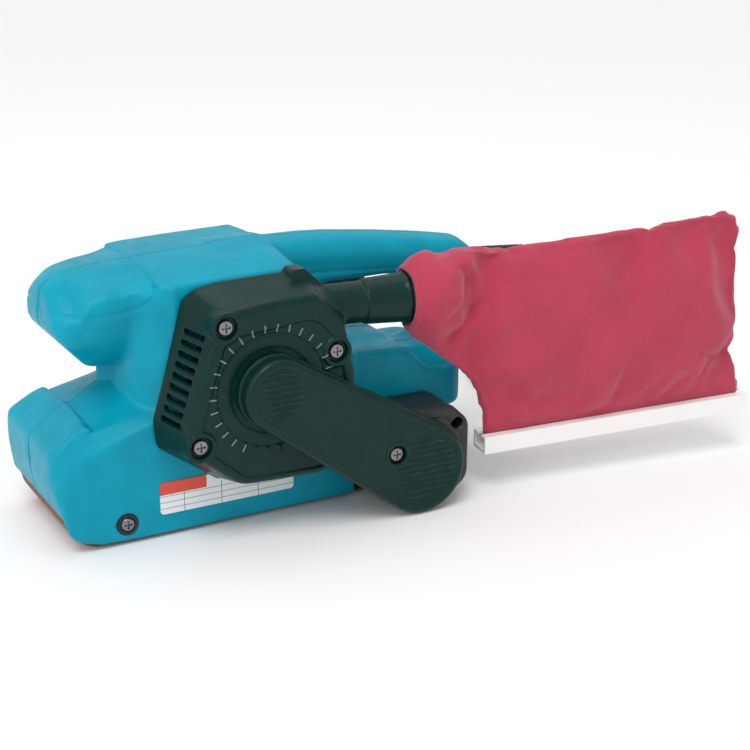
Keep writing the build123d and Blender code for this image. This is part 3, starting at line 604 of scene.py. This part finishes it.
def body_lines(g, side, body):
    """Moulded lines round the grip's cap, across the body and along the handle."""
    front = g.x + 46.6
    on_cap = meet(np.abs(g.z - cap_line(g)) * 0.8, front)
    over_top = meet(np.abs(front), cap_line(g) - g.z)
    flank = meet(np.abs(g.z - 122 + 0.078 * (g.x - 50.4)), slab(g.x, 50, 150))
    flank = meet(flank, 12 - side)
    body = groove(groove(body, on_cap, 0.85, 1.0), over_top, 0.85, 0.9)
    return groove(body, flank, 0.8, 0.7)


def body_field(g):
    """The whole moulding, in one field, before it is split along its seam."""
    side = np.abs(g.y)
    upper = meet(join(grip(g, side), motor_cover(g), 3), roof(g), 2.2)
    lower = nose_and_skirt(g, side)
    body = join(upper, lower, 1.8)
    body = join(body, neck(g), 1.2)
    back = join(handle(g, side), rear_hood(g), 7)
    body = join(body, back, 4)
    barrel = meet(across(g, MOTOR_AXIS, 36.5), slab(g.y, 20, 66))
    body = join(body, barrel, 2)
    body = body_lines(g, side, body)
    body = cut(body, loop_room(g), 1.0)
    body = cut(body, inner_rooms(g))
    return body


def add_body():
    """Left and right halves of the moulded body, from one field cut at the seam."""
    g = Grid((-112, -48, -3), (168, 70, 150), VOXEL)
    body = body_field(g)
    for name, outward in (("housing_left", -1), ("housing_right", 1)):
        half = meet(body, SEAM_GAP - outward * g.y, SEAM_ROUND)
        half = drill(g, name, half)
        shell = skin("shell_" + name, half, g, 0.01)
        dress(shell, "housing", "teal_plastic", TEAL, name)


def drill(g, name, half):
    """Holes and recesses for what is set in each half."""
    if name == "housing_left":
        half = cut(half, meet(across(g, GROMMET_AXIS, 5.65), g.y + 40))
        return cut(half, meet(across(g, REAR_AXIS, 14.4), g.y + 40))
    for node, inner, room in (("speed_dial", 31, 0.4), ("lock_button", 8, 0.3)):
        low, high = (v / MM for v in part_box(node))
        middle = (low + high) / 2
        hole = across(g, (middle.x, middle.z), (high.x - low.x) / 2 + room)
        half = cut(half, meet(hole, inner - g.y), 0.7)
    for corner in solid_centres("body_bolts"):
        half = cut(half, meet(across(g, (corner.x, corner.z), 4.3), corner.y - 1.6 - g.y), 0.6)
    for end in (-1, 1):
        half = cut(half, bar(g, (0, *BRUSH_CAPS), (end * 42, *BRUSH_CAPS), 7.0))
    return half


def solid_centres(node):
    """Middle of each separate solid's outer end in a CAD node, in millimetres."""
    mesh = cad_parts[node].data
    work = bmesh.new()
    work.from_mesh(mesh)
    bmesh.ops.remove_doubles(work, verts=work.verts, dist=1e-6)
    seen = set()
    centres = []
    for vertex in work.verts:
        if vertex in seen:
            continue
        group = [vertex]
        seen.add(vertex)
        for member in group:
            for edge in member.link_edges:
                other = edge.other_vert(member)
                if other not in seen:
                    seen.add(other)
                    group.append(other)
        outer = max(v.co.y for v in group)
        head = [v.co for v in group if v.co.y > outer - 2.7 * MM]
        low = Vector(min(c[i] for c in head) for i in range(3))
        high = Vector(max(c[i] for c in head) for i in range(3))
        centres.append((low + high) / 2 / MM)
    work.free()
    return centres


# ---- drive side

JOINT_Y = -44.2
FACE_Y = -73.0
COVER_Y = -84.0
OUTLET_Z = 115.5
NOZZLE_START = (45.0, -55.0, OUTLET_Z)
NOZZLE_YAW = math.radians(8.0)
NOZZLE_LENGTH = 38
SLEEVE_START = 14
PIPE_R = 11.0
SLEEVE_R = 13.2
COVER_LOW = (83.0, 25.8)   # centre of the cover's lower end, a little behind REAR_AXIS
FACE_SCREWS = [(-24, 117.5), (-39.5, 57.5), (37, 96)]
COVER_SCREW = (66.5, 37.0)
COVER_SCREW_HOLE = 2.1
RIB_PITCH = 3.3
LOUVRES = 9
LOUVRE_TOP = (-33.8, -57.5, 112.0)
LOUVRE_STEP = (-2.0, -5.5)
LOUVRE_LEAN = math.radians(22)


def outlet_point(distance):
    """Point on the dust outlet's axis, this far along it, in millimetres."""
    x, y, z = NOZZLE_START
    return (x + distance * math.cos(NOZZLE_YAW), y - distance * math.sin(NOZZLE_YAW), z)


def screw_recess(g, field, x, z, seat, radius):
    """Raised ring with a round recess for a screw head, in a face that looks to the drive side."""
    ring = meet(across(g, (x, z), radius + 2.2), slab(g.y, seat - 3.6, seat + 8))
    field = join(field, ring, 1.0)
    return cut(field, meet(across(g, (x, z), radius), g.y - seat), 0.5)


def scale_ring(g, panel):
    """Raised ticks round the dish, on the sunk panel of the fan cover."""
    rise = g.z - MOTOR_AXIS[1]
    reach = np.sqrt(g.x ** 2 + rise ** 2)
    turn = np.arctan2(rise, g.x)
    swing = np.abs((turn * TICKS / (2 * math.pi) + 0.5) % 1.0 - 0.5) * 2 * math.pi * reach / TICKS
    tick = meet(meet(swing - 0.55, np.abs(reach - TICK_RING) - 2.3), FACE_Y + 0.2 - g.y)
    return meet(meet(tick, panel + 1.5), g.y - FACE_Y - 3)


def louvre(g, number):
    """One of the slanted air slots, counted from the top."""
    x = LOUVRE_TOP[0] + LOUVRE_STEP[0] * number
    z = LOUVRE_TOP[2] + LOUVRE_STEP[1] * number
    sine, cosine = math.sin(LOUVRE_LEAN), math.cos(LOUVRE_LEAN)
    deep = (g.x - x) * cosine + (g.y - LOUVRE_TOP[1]) * sine
    run = -(g.x - x) * sine + (g.y - LOUVRE_TOP[1]) * cosine
    return meet(np.abs(g.z - z - 0.12 * run) - 1.45, meet(np.abs(run) - 7.2, np.abs(deep) - 9))


def add_drive_housing():
    """Dark fan cover with louvres, dished face, scale ticks and the dust outlet."""
    g = Grid((-60, -79, 20), (96, -43, 137), 0.6 if FINE else 1.4)
    at_joint = outline([(-37.5, 127.6, 4), (-30, 132.2, 8), (-18, 134.6, 14), (31, 135.1, 6),
                        (46, 112, 10), (51, 84, 10), (51, 60, 8), (38, 27, 14), (-20, 27, 14),
                        (-54, 51, 7), (-55.5, 66, 7), (-47, 94, 20)], g.x, g.z)
    at_face = outline([(-25, 124, 7), (0, 127, 30), (26, 127.5, 9), (41, 112, 10), (47, 84, 10),
                       (47, 60, 8), (33, 31, 14), (-17, 33, 14), (-45, 55, 8), (-44.5, 68, 8),
                       (-36, 94, 20)], g.x, g.z)
    share = np.clip((JOINT_Y - g.y) / (JOINT_Y - FACE_Y), 0, 1)
    profile = (1 - share) * at_joint + share * at_face
    body = meet(profile, meet(g.y - JOINT_Y, FACE_Y - g.y), 3.0)
    panel = outline([(-24, 111.5, 8), (25, 115.5, 12), (38, 100, 12), (43, 70, 10), (43, 52, 8),
                     (30, 34.5, 12), (-15, 36.5, 12), (-38, 56, 8), (-38, 70, 8)], g.x, g.z)
    body = cut(body, meet(panel, g.y - FACE_Y - 1.1), 0.7)
    duct = bar(g, outlet_point(-66), outlet_point(SLEEVE_START + 3), PIPE_R)
    body = join(body, duct, 5)
    clip = outline([(17.5, 128, 0), (19.6, 136, 0.8), (22.3, 138.2, 1), (27.2, 137.2, 1),
                    (43.5, 121.5, 1.5), (43.5, 112, 0), (17.5, 112, 0)], g.x, g.z)
    body = join(body, meet(clip, slab(g.y, -56, -45), 0.9), 1.0)
    root, tip = outlet_point(SLEEVE_START), outlet_point(NOZZLE_LENGTH)
    sleeve = meet(bar(g, root, tip, PIPE_R + 1.0, SLEEVE_R), bar(g, root, tip, 20), 0.8)
    body = join(body, sleeve, 0.5)
    body = join(body, bar(g, outlet_point(NOZZLE_LENGTH - 1.6), tip, SLEEVE_R + 0.5), 0.4)
    for x, z in FACE_SCREWS:
        body = screw_recess(g, body, x, z, FACE_Y + 3.4, 5.8)
    body = cut(body, meet(across(g, MOTOR_AXIS, 22.4), g.y - FACE_Y - 1.3), 1.0)
    body = join(body, scale_ring(g, panel), 0.3)
    circle = np.abs(across(g, MOTOR_AXIS, 29.2))
    body = groove(body, circle + np.maximum(g.y - FACE_Y - 2.2, 0), 0.7, 0.6)
    for number in range(LOUVRES):
        body = cut(body, louvre(g, number), 0.4)
    body = cut(body, meet(across(g, MOTOR_AXIS, 31), slab(g.y, -63, -40)))
    body = cut(body, bar(g, outlet_point(-50), outlet_point(NOZZLE_LENGTH + 2), PIPE_R - 2))
    body = cut(body, meet(across(g, MOTOR_AXIS, 6), g.y + 60))
    body = cut(body, meet(meet(profile + 4.2, slab(g.z, 58, 117)), meet(slab(g.y, -68, -40), g.x + 22)))
    dress(skin("shell_drive_housing", body, g, 0.02), "housing", "dark_plastic", TICKED, "drive_housing")


def add_drive_case():
    """Dark case behind the belt cover, round the drive roller's shaft."""
    g = Grid((44, -77, -2), (124, -42, 64), 0.6 if FINE else 1.4)
    side = outline([(76, 16, 6), (82, 5, 6), (106, 2.2, 6), (117, 11, 10), (117.2, 44, 9), (106, 55, 10),
                    (66, 56, 6), (56, 46, 6), (61, 32, 6)], g.x, g.z)
    case = meet(side, slab(g.y, FACE_Y, JOINT_Y), 3)
    case = cut(case, meet(across(g, (109.3, 44), 3.2), g.y - FACE_Y - 9), 0.6)
    inner = outline([(84, 10, 6), (104, 7, 8), (111.5, 16, 8), (111.5, 38, 8), (102, 48, 8), (70, 50, 6)],
                    g.x, g.z)
    case = groove(case, np.abs(inner) + np.maximum(g.y - FACE_Y - 1.5, 0), 0.8, 0.6)
    case = cut(case, meet(across(g, REAR_AXIS, 14.3), slab(g.y, -60, -40)))
    case = cut(case, meet(across(g, REAR_AXIS, 8), g.y + 59))
    case = cut(case, meet(across(g, COVER_SCREW, COVER_SCREW_HOLE), g.y + 59))
    fan_cover = outline([(50, 98, 6), (51, 60, 8), (38, 27, 14), (20, 27, 0), (20, 98, 0)], g.x, g.z)
    case = meet(case, 0.15 - fan_cover)
    dress(skin("shell_drive_case", case, g, 0.02), "housing", "dark_plastic", BLACK, "drive_case")


def add_belt_cover():
    """Cover over the toothed drive: thick rounded rim, sunk face and two patches of ribs."""
    g = Grid((-22, -87, -3), (112, -70, 104), 0.5 if FINE else 1.2)
    outer = egg(g, MOTOR_AXIS, 19.0, COVER_LOW, 25.3)
    cover = meet(outer, slab(g.y, COVER_Y, FACE_Y - 0.2), 3.6)
    cover = cut(cover, meet(egg(g, MOTOR_AXIS, 14.0, COVER_LOW, 20.3), g.y - COVER_Y - 0.9), 1.4)
    shelf = egg(g, MOTOR_AXIS, 19.6, COVER_LOW, 25.9)
    cover = join(cover, meet(shelf, slab(g.y, FACE_Y - 1.6, FACE_Y - 0.2)), 0.6)
    for axis, radius, low, high in ((MOTOR_AXIS, 12.3, -8, 12), (COVER_LOW, 18.2, -15, 19)):
        u, v = g.x - axis[0], g.z - axis[1]
        rib = np.abs((v / RIB_PITCH) % 1.0 - 0.5) * RIB_PITCH
        patch = meet(np.sqrt(u * u + v * v) - radius, meet(low - u - 0.35 * v, u - high))
        line = meet(meet(rib - 0.62, patch), slab(g.y, COVER_Y + 0.25, COVER_Y + 3))
        cover = join(cover, line, 0.3)
    cover = screw_recess(g, cover, *COVER_SCREW, COVER_Y + 4, 5.2)
    hollow = meet(egg(g, MOTOR_AXIS, 17.0, COVER_LOW, 23.3), COVER_Y + 3.2 - g.y)
    boss = across(g, COVER_SCREW, 6.4)
    cover = cut(cover, meet(hollow, -boss))
    cover = cut(cover, meet(across(g, COVER_SCREW, COVER_SCREW_HOLE), COVER_Y + 1 - g.y))
    dress(skin("shell_belt_cover", cover, g), "housing", "dark_plastic", DARK, "belt_cover")


add_body()
add_drive_housing()
add_drive_case()
add_belt_cover()


# ---- dust bag

# side outline of the bag as (s, z, radius); s runs along the outlet's axis from NOZZLE_START, t across it
BAG_LINE = [
    (43, 97, 4), (42.4, 118, 20), (43, 135.8, 3.5), (51, 136.2, 5), (60, 133.8, 4), (67, 137.4, 6),
    (78, 138.9, 12), (106, 138.0, 20), (120, 137.9, 20), (134, 138.9, 20), (162, 140.2, 30),
    (206, 143, 30), (221, 144.8, 12), (231.5, 146.2, 3), (237, 143.6, 3), (241.2, 137, 6),
    (240.2, 115, 20), (241.3, 94, 20), (243.4, 69, 3), (240.4, 64.8, 1.5), (241.8, 58.9, 2),
    (244.4, 55.7, 2), (245.2, 49.8, 3), (247.8, 45, 3), (248, 31, 1), (85, 27, 1), (84.4, 46, 3),
    (81.2, 50.7, 3), (80.2, 57.7, 5), (75.2, 65, 8), (68, 72.2, 10), (59.8, 78, 10), (50, 87, 8),
    (44.7, 92, 4),
]
MOUTH_Z = 32.3
MOUTH_SLOPE = 0.025
CUFF_START = 38.4
CUFF_END = 50.0
CUFF_R = 14.6
EDGE_HALF = 2.3
CLOTH = {
    "quality": 6, "mass": 0.15, "tension_stiffness": 12, "compression_stiffness": 10, "shear_stiffness": 5,
    "bending_stiffness": 0.4, "use_pressure": True, "uniform_pressure_force": 1.6, "shrink_min": -0.05,
    "vertex_group_mass": "held",
}
CLOTH_STEPS = 20
CLOTH_REACH = 4.5
# soft ridges and valleys: path of (s, z) points, width, height (valleys below zero)
FOLDS = [
    ([(72, 133), (78, 122), (79, 106), (75, 96)], 3.4, 2.6),
    ([(66, 131), (69, 124), (66, 112)], 2.2, -2.0),
    ([(86, 134), (90, 118), (88, 98), (82, 86)], 6.0, 2.2),
    ([(60, 92), (70, 99), (80, 110)], 3.2, -2.4),
    ([(64, 84), (84, 92), (110, 108)], 7.0, 1.6),
    ([(92, 62), (104, 50), (112, 42)], 6.0, -2.0),
    ([(90, 48), (112, 40), (140, 37)], 5.0, 1.3),
    ([(236, 70), (228, 58), (222, 44)], 5.5, -2.2),
    ([(242, 64), (230, 62), (214, 66)], 2.6, -1.8),
    ([(120, 128), (160, 122), (205, 130)], 11.0, -1.2),
    ([(150, 60), (180, 76), (220, 84)], 14.0, 1.3),
    ([(232, 138), (226, 120), (230, 98)], 6.0, -1.3),
]


def mouth_height(s):
    """Height of the bag's closed mouth, which the strip holds."""
    return MOUTH_Z + MOUTH_SLOPE * (s - 80)


def near_path(points, u, v):
    """Distance from (u, v) to an open path."""
    nearest = None
    for (au, av), (bu, bv) in zip(points, points[1:]):
        eu, ev = bu - au, bv - av
        t = np.clip(((u - au) * eu + (v - av) * ev) / (eu * eu + ev * ev), 0, 1)
        gap = np.hypot(u - au - eu * t, v - av - ev * t)
        nearest = gap if nearest is None else np.minimum(nearest, gap)
    return nearest


def bag_field(g):
    """Slack closed bag: thin at its edges and mouth, rounder at the neck; g holds s, t and z."""
    edge = outline(BAG_LINE, g.x, g.z)
    depth = np.maximum(-edge, 0)
    half = EDGE_HALF + 5.6 * (1 - np.exp(-depth / 15))
    nearness = np.exp(-((g.x - 44) / 24) ** 2 - ((g.z - OUTLET_Z) / 22) ** 2)
    half = half + 9.5 * nearness * (1 - np.exp(-depth / 6))
    half = np.minimum(half, 2.2 + 0.42 * np.maximum(g.z - mouth_height(g.x), 0))
    body = meet(edge, np.abs(g.y) - half, 1.6)
    body = meet(body, mouth_height(g.x) - 3.5 - g.z)
    out = np.sqrt(g.y ** 2 + (g.z - OUTLET_Z) ** 2)
    swell = 15.5 + 4.2 * np.clip((g.x - 39) / 9, 0, 1) ** 0.8 - 3.5 * np.clip((g.x - 52) / 12, 0, 1)
    bulge = meet(out - swell, slab(g.x, CUFF_START + 0.3, 64))
    return join(body, bulge, 12)


def settle_cloth(piece, held):
    """Let the slack cloth puff and crumple between its held edges, and keep the shape it takes."""
    mesh = piece.data
    start = np.array([v.co for v in mesh.vertices])
    group = piece.vertex_groups.new(name="held")
    group.add([i for i, co in enumerate(start) if held(co / MM)], 1.0, "REPLACE")
    cloth = piece.modifiers.new("cloth", "CLOTH")
    for name, value in CLOTH.items():
        setattr(cloth.settings, name, value)
    cloth.settings.effector_weights.gravity = 0
    cloth.collision_settings.use_collision = False
    scene = bpy.context.scene
    for step in range(1, CLOTH_STEPS + 1):
        scene.frame_set(step)
    worn = piece.evaluated_get(bpy.context.evaluated_depsgraph_get()).data
    end = np.array([v.co for v in worn.vertices])
    piece.modifiers.remove(cloth)
    scene.frame_set(1)
    move = end - start
    far = np.linalg.norm(move, axis=1, keepdims=True)
    move *= np.minimum(1, CLOTH_REACH * MM / np.maximum(far, 1e-9))
    mesh.vertices.foreach_set("co", (start + move).ravel())
    mesh.update()


def bake(piece):
    """Replace a piece's mesh with what its modifiers make of it."""
    bpy.context.view_layer.update()
    done = bpy.data.meshes.new_from_object(piece.evaluated_get(bpy.context.evaluated_depsgraph_get()))
    piece.modifiers.clear()
    piece.data = done


def turned(name, profile, sides=96):
    """Closed ring or plug turned about the local X axis from (x, radius) corners."""
    points = []
    for i in range(sides):
        a = 2 * math.pi * i / sides
        points += [(s * MM, r * math.cos(a) * MM, r * math.sin(a) * MM) for s, r in profile]
    count = len(profile)
    faces = []
    for i in range(sides):
        for j in range(count):
            a, b = i * count + j, i * count + (j + 1) % count
            c, d = ((i + 1) % sides) * count + (j + 1) % count, ((i + 1) % sides) * count + j
            faces.append((a, b, c, d))
    mesh = bpy.data.meshes.new(name)
    mesh.from_pydata(points, [], faces)
    work = bmesh.new()
    work.from_mesh(mesh)
    bmesh.ops.recalc_face_normals(work, faces=work.faces)
    work.to_mesh(mesh)
    work.free()
    mesh.shade_smooth()
    return put(name, mesh)


def to_bag_plane(piece):
    """Carry a mesh made in bag coordinates into the tool's frame."""
    x, y, _ = NOZZLE_START
    turn = Matrix.Translation((x * MM, y * MM, 0)) @ Matrix.Rotation(-NOZZLE_YAW, 4, "Z")
    piece.data.transform(turn)


def crease(piece):
    """Raise the folds on both faces of the bag, with gathers fanned out from the cuff."""
    mesh = piece.data
    co = np.array([v.co for v in mesh.vertices]) / MM
    s, t, z = co.T
    side = np.sign(t) * np.clip(np.abs(t) / 2.5, 0, 1)
    clear = np.clip((z - mouth_height(s) - 1) / 9, 0, 1) * np.clip((s - 52) / 12, 0, 1)
    push = np.zeros(len(s))
    for points, width, depth in FOLDS:
        push += depth * np.exp(-(near_path(points, s, z) / width) ** 2)
    lean = np.arctan2(z - 112, s - 20)
    fan = np.exp(-((s - 66) / 20) ** 2)
    push += 0.8 * fan * np.sin(lean * 17 + 0.8 * np.sin(lean * 5))
    push += 0.55 * np.sin(0.055 * s + 0.05 * z) * np.sin(0.075 * z - 0.02 * s + 1.1)
    co[:, 1] = t + np.where(t < 0, -1, 1) * np.abs(side) * push * clear
    mesh.vertices.foreach_set("co", (co * MM).ravel())
    mesh.update()


def cloth_material():
    """Closely woven dyed cloth: threads both ways, a soft nap and uneven dye."""
    n = Nodes("wine_cloth")
    colour = (0.455, 0.046, 0.088)
    threads = 5200.0
    x, _, z = n.axes()
    across_threads = n.calc("ABSOLUTE", n.calc("SINE", n.calc("MULTIPLY", x, threads)))
    up_threads = n.calc("ABSOLUTE", n.calc("SINE", n.calc("MULTIPLY", z, threads)))
    weave = n.calc("MULTIPLY", across_threads, up_threads)
    fleck = n.noise(2600, 3, 0.7)
    dye = n.ramp(n.noise(38, 4, 0.6), 0.3, 0.7)
    base = n.mix(dye, shade(colour, 0.88), shade(colour, 1.06))
    base = n.mix(n.ramp(fleck, 0.3, 0.75, 0.0, 0.45), base, shade(colour, 1.35))
    base = n.mix(n.ramp(weave, 0.0, 0.25, 0.35, 0.0), base, shade(colour, 0.55))
    n.look("Base Color", base)
    n.look("Roughness", 0.88)
    n.look("Specular IOR Level", 0.18)
    n.look("Sheen Weight", 0.35)
    n.look("Sheen Roughness", 0.5)
    n.look("Sheen Tint", (1.0, 0.75, 0.8, 1.0))
    soft = n.bump(n.noise(160, 4, 0.6), 0.5, 0.0006)
    n.look("Normal", n.bump(weave, 0.5, 0.00012, soft))
    return n.material


def add_bag():
    """Cloth bag on the outlet's collar, and the rolled hem of its cuff."""
    g = Grid((36, -26, 22), (252, 26, 150), 1.6 if FINE else 2.4)
    bag = skin("cloth_bag", bag_field(g), g)
    coarse = bag.modifiers.new("coarse", "REMESH")
    coarse.mode = "VOXEL"
    coarse.voxel_size = 3.3 * MM
    if FINE:
        bake(bag)
        settle_cloth(bag, lambda p: abs(p[1]) < 1.2 or p[0] < 50 or p[2] < mouth_height(p[0]) + 4)
        smooth = bag.modifiers.new("smooth", "SUBSURF")
        smooth.levels = 1
        smooth.render_levels = 1
        bake(bag)
        crease(bag)
    wall, end = CUFF_R + 0.25, CUFF_END + 0.5
    hollow = turned("cuff_hollow", [(30, 0.001), (30, wall), (end, wall), (end, 0.001)])
    to_outlet = Matrix.Translation((0, 0, OUTLET_Z * MM))
    hollow.data.transform(to_outlet)
    bore = bag.modifiers.new("bore", "BOOLEAN")
    bore.operation = "DIFFERENCE"
    bore.solver = "EXACT"
    bore.object = hollow
    bake(bag)
    bpy.data.objects.remove(hollow)
    bag.data.shade_smooth()
    section = [(0.4, 14.9), (0.4, 16.4), (1.2, 17.3), (2.6, 17.6), (3.8, 17.0), (4.4, 14.9)]
    hem = turned("bag_hem", [(CUFF_START + s, radius) for s, radius in section])
    hem.data.transform(to_outlet)
    cloth = cloth_material()
    for piece in (bag, hem):
        to_bag_plane(piece)
        dress(piece, "dust_bag", "bag_cloth", cloth)
    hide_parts("dust_bag")


# ---- mains cord

CORD_R = 3.5
GUARD_START = (159.0, 0.0, 112.5)
GUARD_RIBS = 9
LEAD = [(197, 0, 111.3), (222, 0, 110.49), (246, 0.5, 99.5), (262, 2.5, 76), (266.5, 6.5, 49.5),
        (263.2, 13, 25), (250.4, 22.4, 8.4)]
COIL_CENTRE = (262.8, 74.3)
COIL_ANGLE = math.radians(229.1)
# the coil as (turn, radius, height), straight between these: three columns, then up to the plug
COIL = [
    (0, 47.6, 4.3), (0.15, 44.1, 5.37), (2.0, 44.1, 18.5), (2.2, 37, 18.5), (4.2, 37, 4.3),
    (4.4, 29.9, 4.3), (6.4, 29.9, 18.5), (6.6, 30.5, 20.6), (6.8, 33, 22.8), (7.0, 36.5, 24.6),
    (7.12, 38.7, 25.6), (7.22, 39.9, 25.6), (7.4, 41.2, 23.9), (7.531, 40.6, 23.3),
]
POINTS_PER_TURN = 24


def cord_points():
    """Route of the mains cord: hanging lead, then the coil."""
    points = list(LEAD)
    turns, radii, heights = zip(*COIL)
    count = int(turns[-1] * POINTS_PER_TURN)
    swell = 1 / math.cos(math.pi / POINTS_PER_TURN)
    for i in range(count + 1):
        turn = turns[-1] * i / count
        radius = np.interp(turn, turns, radii) * (swell if i < count else 1)
        angle = COIL_ANGLE - 2 * math.pi * turn
        points.append((COIL_CENTRE[0] + radius * math.cos(angle),
                       COIL_CENTRE[1] + radius * math.sin(angle),
                       float(np.interp(turn, turns, heights))))
    return points


def add_guard():
    """Ribbed guard round the cord where it leaves the handle."""
    root = Vector(GUARD_START)
    lead = Vector(LEAD[0]) - root
    reach = lead.length
    profile = [(-9, 0.001), (-9, 8), (-5, 8), (-5, 6.3), (2, 6.3)]
    for i in range(GUARD_RIBS):
        start = 2.5 + i * (reach - 4) / GUARD_RIBS
        radius = 6.3 - 1.8 * i / GUARD_RIBS
        profile += [(start, radius), (start + 2.4, radius - 0.1), (start + 2.6, radius - 0.9),
                    (start + 3.6, radius - 0.95)]
    profile += [(reach - 0.6, 4.5), (reach, 4.1), (reach, 0.001)]
    guard = turned("ribbed_guard", profile, 64)
    turn = Vector((1, 0, 0)).rotation_difference(lead.normalized()).to_matrix().to_4x4()
    guard.data.transform(Matrix.Translation(root * MM) @ turn)
    return dress(guard, "housing", "black_rubber", RUBBER, "cord_guard")


def add_cord():
    """Mains cord as one free cable, from the guard to the plug."""
    curve = bpy.data.curves.new("mains_cord", "CURVE")
    curve.dimensions = "3D"
    curve.bevel_depth = CORD_R * MM
    curve.bevel_resolution = 5
    curve.resolution_u = 5
    curve.use_fill_caps = True
    points = cord_points()
    spline = curve.splines.new("NURBS")
    spline.points.add(len(points) - 1)
    for spot, (x, y, z) in zip(spline.points, points):
        spot.co = (x * MM, y * MM, z * MM, 1)
    spline.order_u = 3
    spline.use_endpoint_u = True
    cord = put("mains_cord", curve)
    dress(cord, "housing", "black_rubber", RUBBER, "power_cord", "cord_coil")
    carried = [add_guard()] + [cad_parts[name] for name in ("cord_tie", "mains_plug", "plug_pins")]


# ---- finish of the other pieces

def grit_material():
    """Resin-bonded abrasive: packed red-brown grains."""
    n = Nodes("abrasive_grit")
    grains = n.add("ShaderNodeTexVoronoi")
    n.feed(grains.inputs["Vector"], n.place)
    grains.inputs["Scale"].default_value = 1900
    tone = n.ramp(n.noise(1500, 3), 0.35, 0.65)
    n.look("Base Color", n.mix(tone, (0.13, 0.045, 0.028, 1), (0.36, 0.15, 0.095, 1)))
    n.look("Roughness", 0.85)
    n.look("Normal", n.bump(grains.outputs["Distance"], 0.8, 0.0003))
    return n.material


def cork_material():
    """Pressed cork granules."""
    n = Nodes("pressed_cork")
    tone = n.ramp(n.noise(700, 4), 0.35, 0.65)
    n.look("Base Color", n.mix(tone, (0.22, 0.12, 0.06, 1), (0.45, 0.29, 0.16, 1)))
    n.look("Roughness", 0.9)
    return n.material


def plate_material():
    """Printed film: a colour band along the top, pale rows and thin rules; no lettering."""
    n = Nodes("printed_film")
    x, _, z = n.axes()
    band = n.calc("MULTIPLY", n.ramp(z, 0.0236, 0.0238), n.ramp(x, -0.0262, -0.026, 1.0, 0.0))
    row, column = 0.0034, 0.021
    rows = n.calc("FRACT", n.calc("MULTIPLY", n.calc("SUBTRACT", z, 0.0125), 1 / row))
    rule = n.calc("LESS_THAN", rows, 0.1)
    columns = n.calc("FRACT", n.calc("MULTIPLY", n.calc("ADD", x, 0.06), 1 / column))
    columns = n.calc("LESS_THAN", columns, 0.02)
    ink = n.calc("MAXIMUM", rule, columns)
    ink = n.calc("MULTIPLY", ink, n.ramp(z, 0.0258, 0.026, 0.8, 0.0))
    paper = n.mix(ink, (0.80, 0.84, 0.86, 1), (0.03, 0.05, 0.06, 1))
    n.look("Base Color", n.mix(band, paper, (0.72, 0.07, 0.035, 1)))
    n.look("Roughness", 0.3)
    return n.material


def stacked_material():
    """Edges of stacked steel sheets."""
    n = Nodes("stacked_sheets")
    _, y, _ = n.axes()
    sheet = n.calc("ABSOLUTE", n.calc("SINE", n.calc("MULTIPLY", y, 3000.0)))
    n.look("Base Color", n.mix(sheet, (0.08, 0.08, 0.085, 1), (0.3, 0.3, 0.32, 1)))
    n.look("Metallic", 0.9)
    n.look("Roughness", 0.48)
    return n.material


def coat(material, *names):
    """Finish for CAD pieces that are shown as they are."""
    for name in names:
        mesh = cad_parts[name].data
        mesh.materials.clear()
        mesh.materials.append(material)


def coat_all():
    """Finish of every CAD piece that no new mesh stands for."""
    coat(STEEL, "shoe_plate", "motor_shaft", "drive_shaft", "front_axle", "small_pulley", "trigger_pin",
         "lever_pin", "drive_side_bearing", "open_side_bearing", "drive_roller_bearing")
    coat(ZINC, "front_yoke", "tension_lever", "body_bolts", "drive_shaft_nut")
    # the screws take the darkened zinc, whose darkness is painted shade of their recesses
    coat(SHADED_SCREW_ZINC, "tracking_screw", "drive_side_screws", "cover_screw")
    coat(metal("spring_wire", (0.42, 0.42, 0.44), 0.3), "tension_spring")
    coat(ALLOY, "frame_casting", "front_roller")
    coat(RUBBER, "tracking_grommet", "bag_seal", "drive_belt", "mains_plug", "drive_roller")
    coat(BLACK, "switch_unit", "trigger", "lock_button", "speed_dial", "bag_collar", "brush_caps",
         "carbon_brushes", "fan", "large_pulley", "cord_tie")
    coat(DARK, "motor_end_cap")
    coat(COPPER, "field_windings", "commutator")
    coat(BRASS, "brush_holders", "plug_pins")
    coat(stacked_material(), "field_core", "armature_core")
    coat(WHITE, "bag_strip")
    coat(cork_material(), "shoe_cushion")
    coat(grit_material(), "sanding_belt")
    coat(plate_material(), "rating_plate")


add_bag()
add_cord()
coat_all()


def corners(pair):
    """Low and high corner as plain lists."""
    return [list(pair[0]), list(pair[1])]
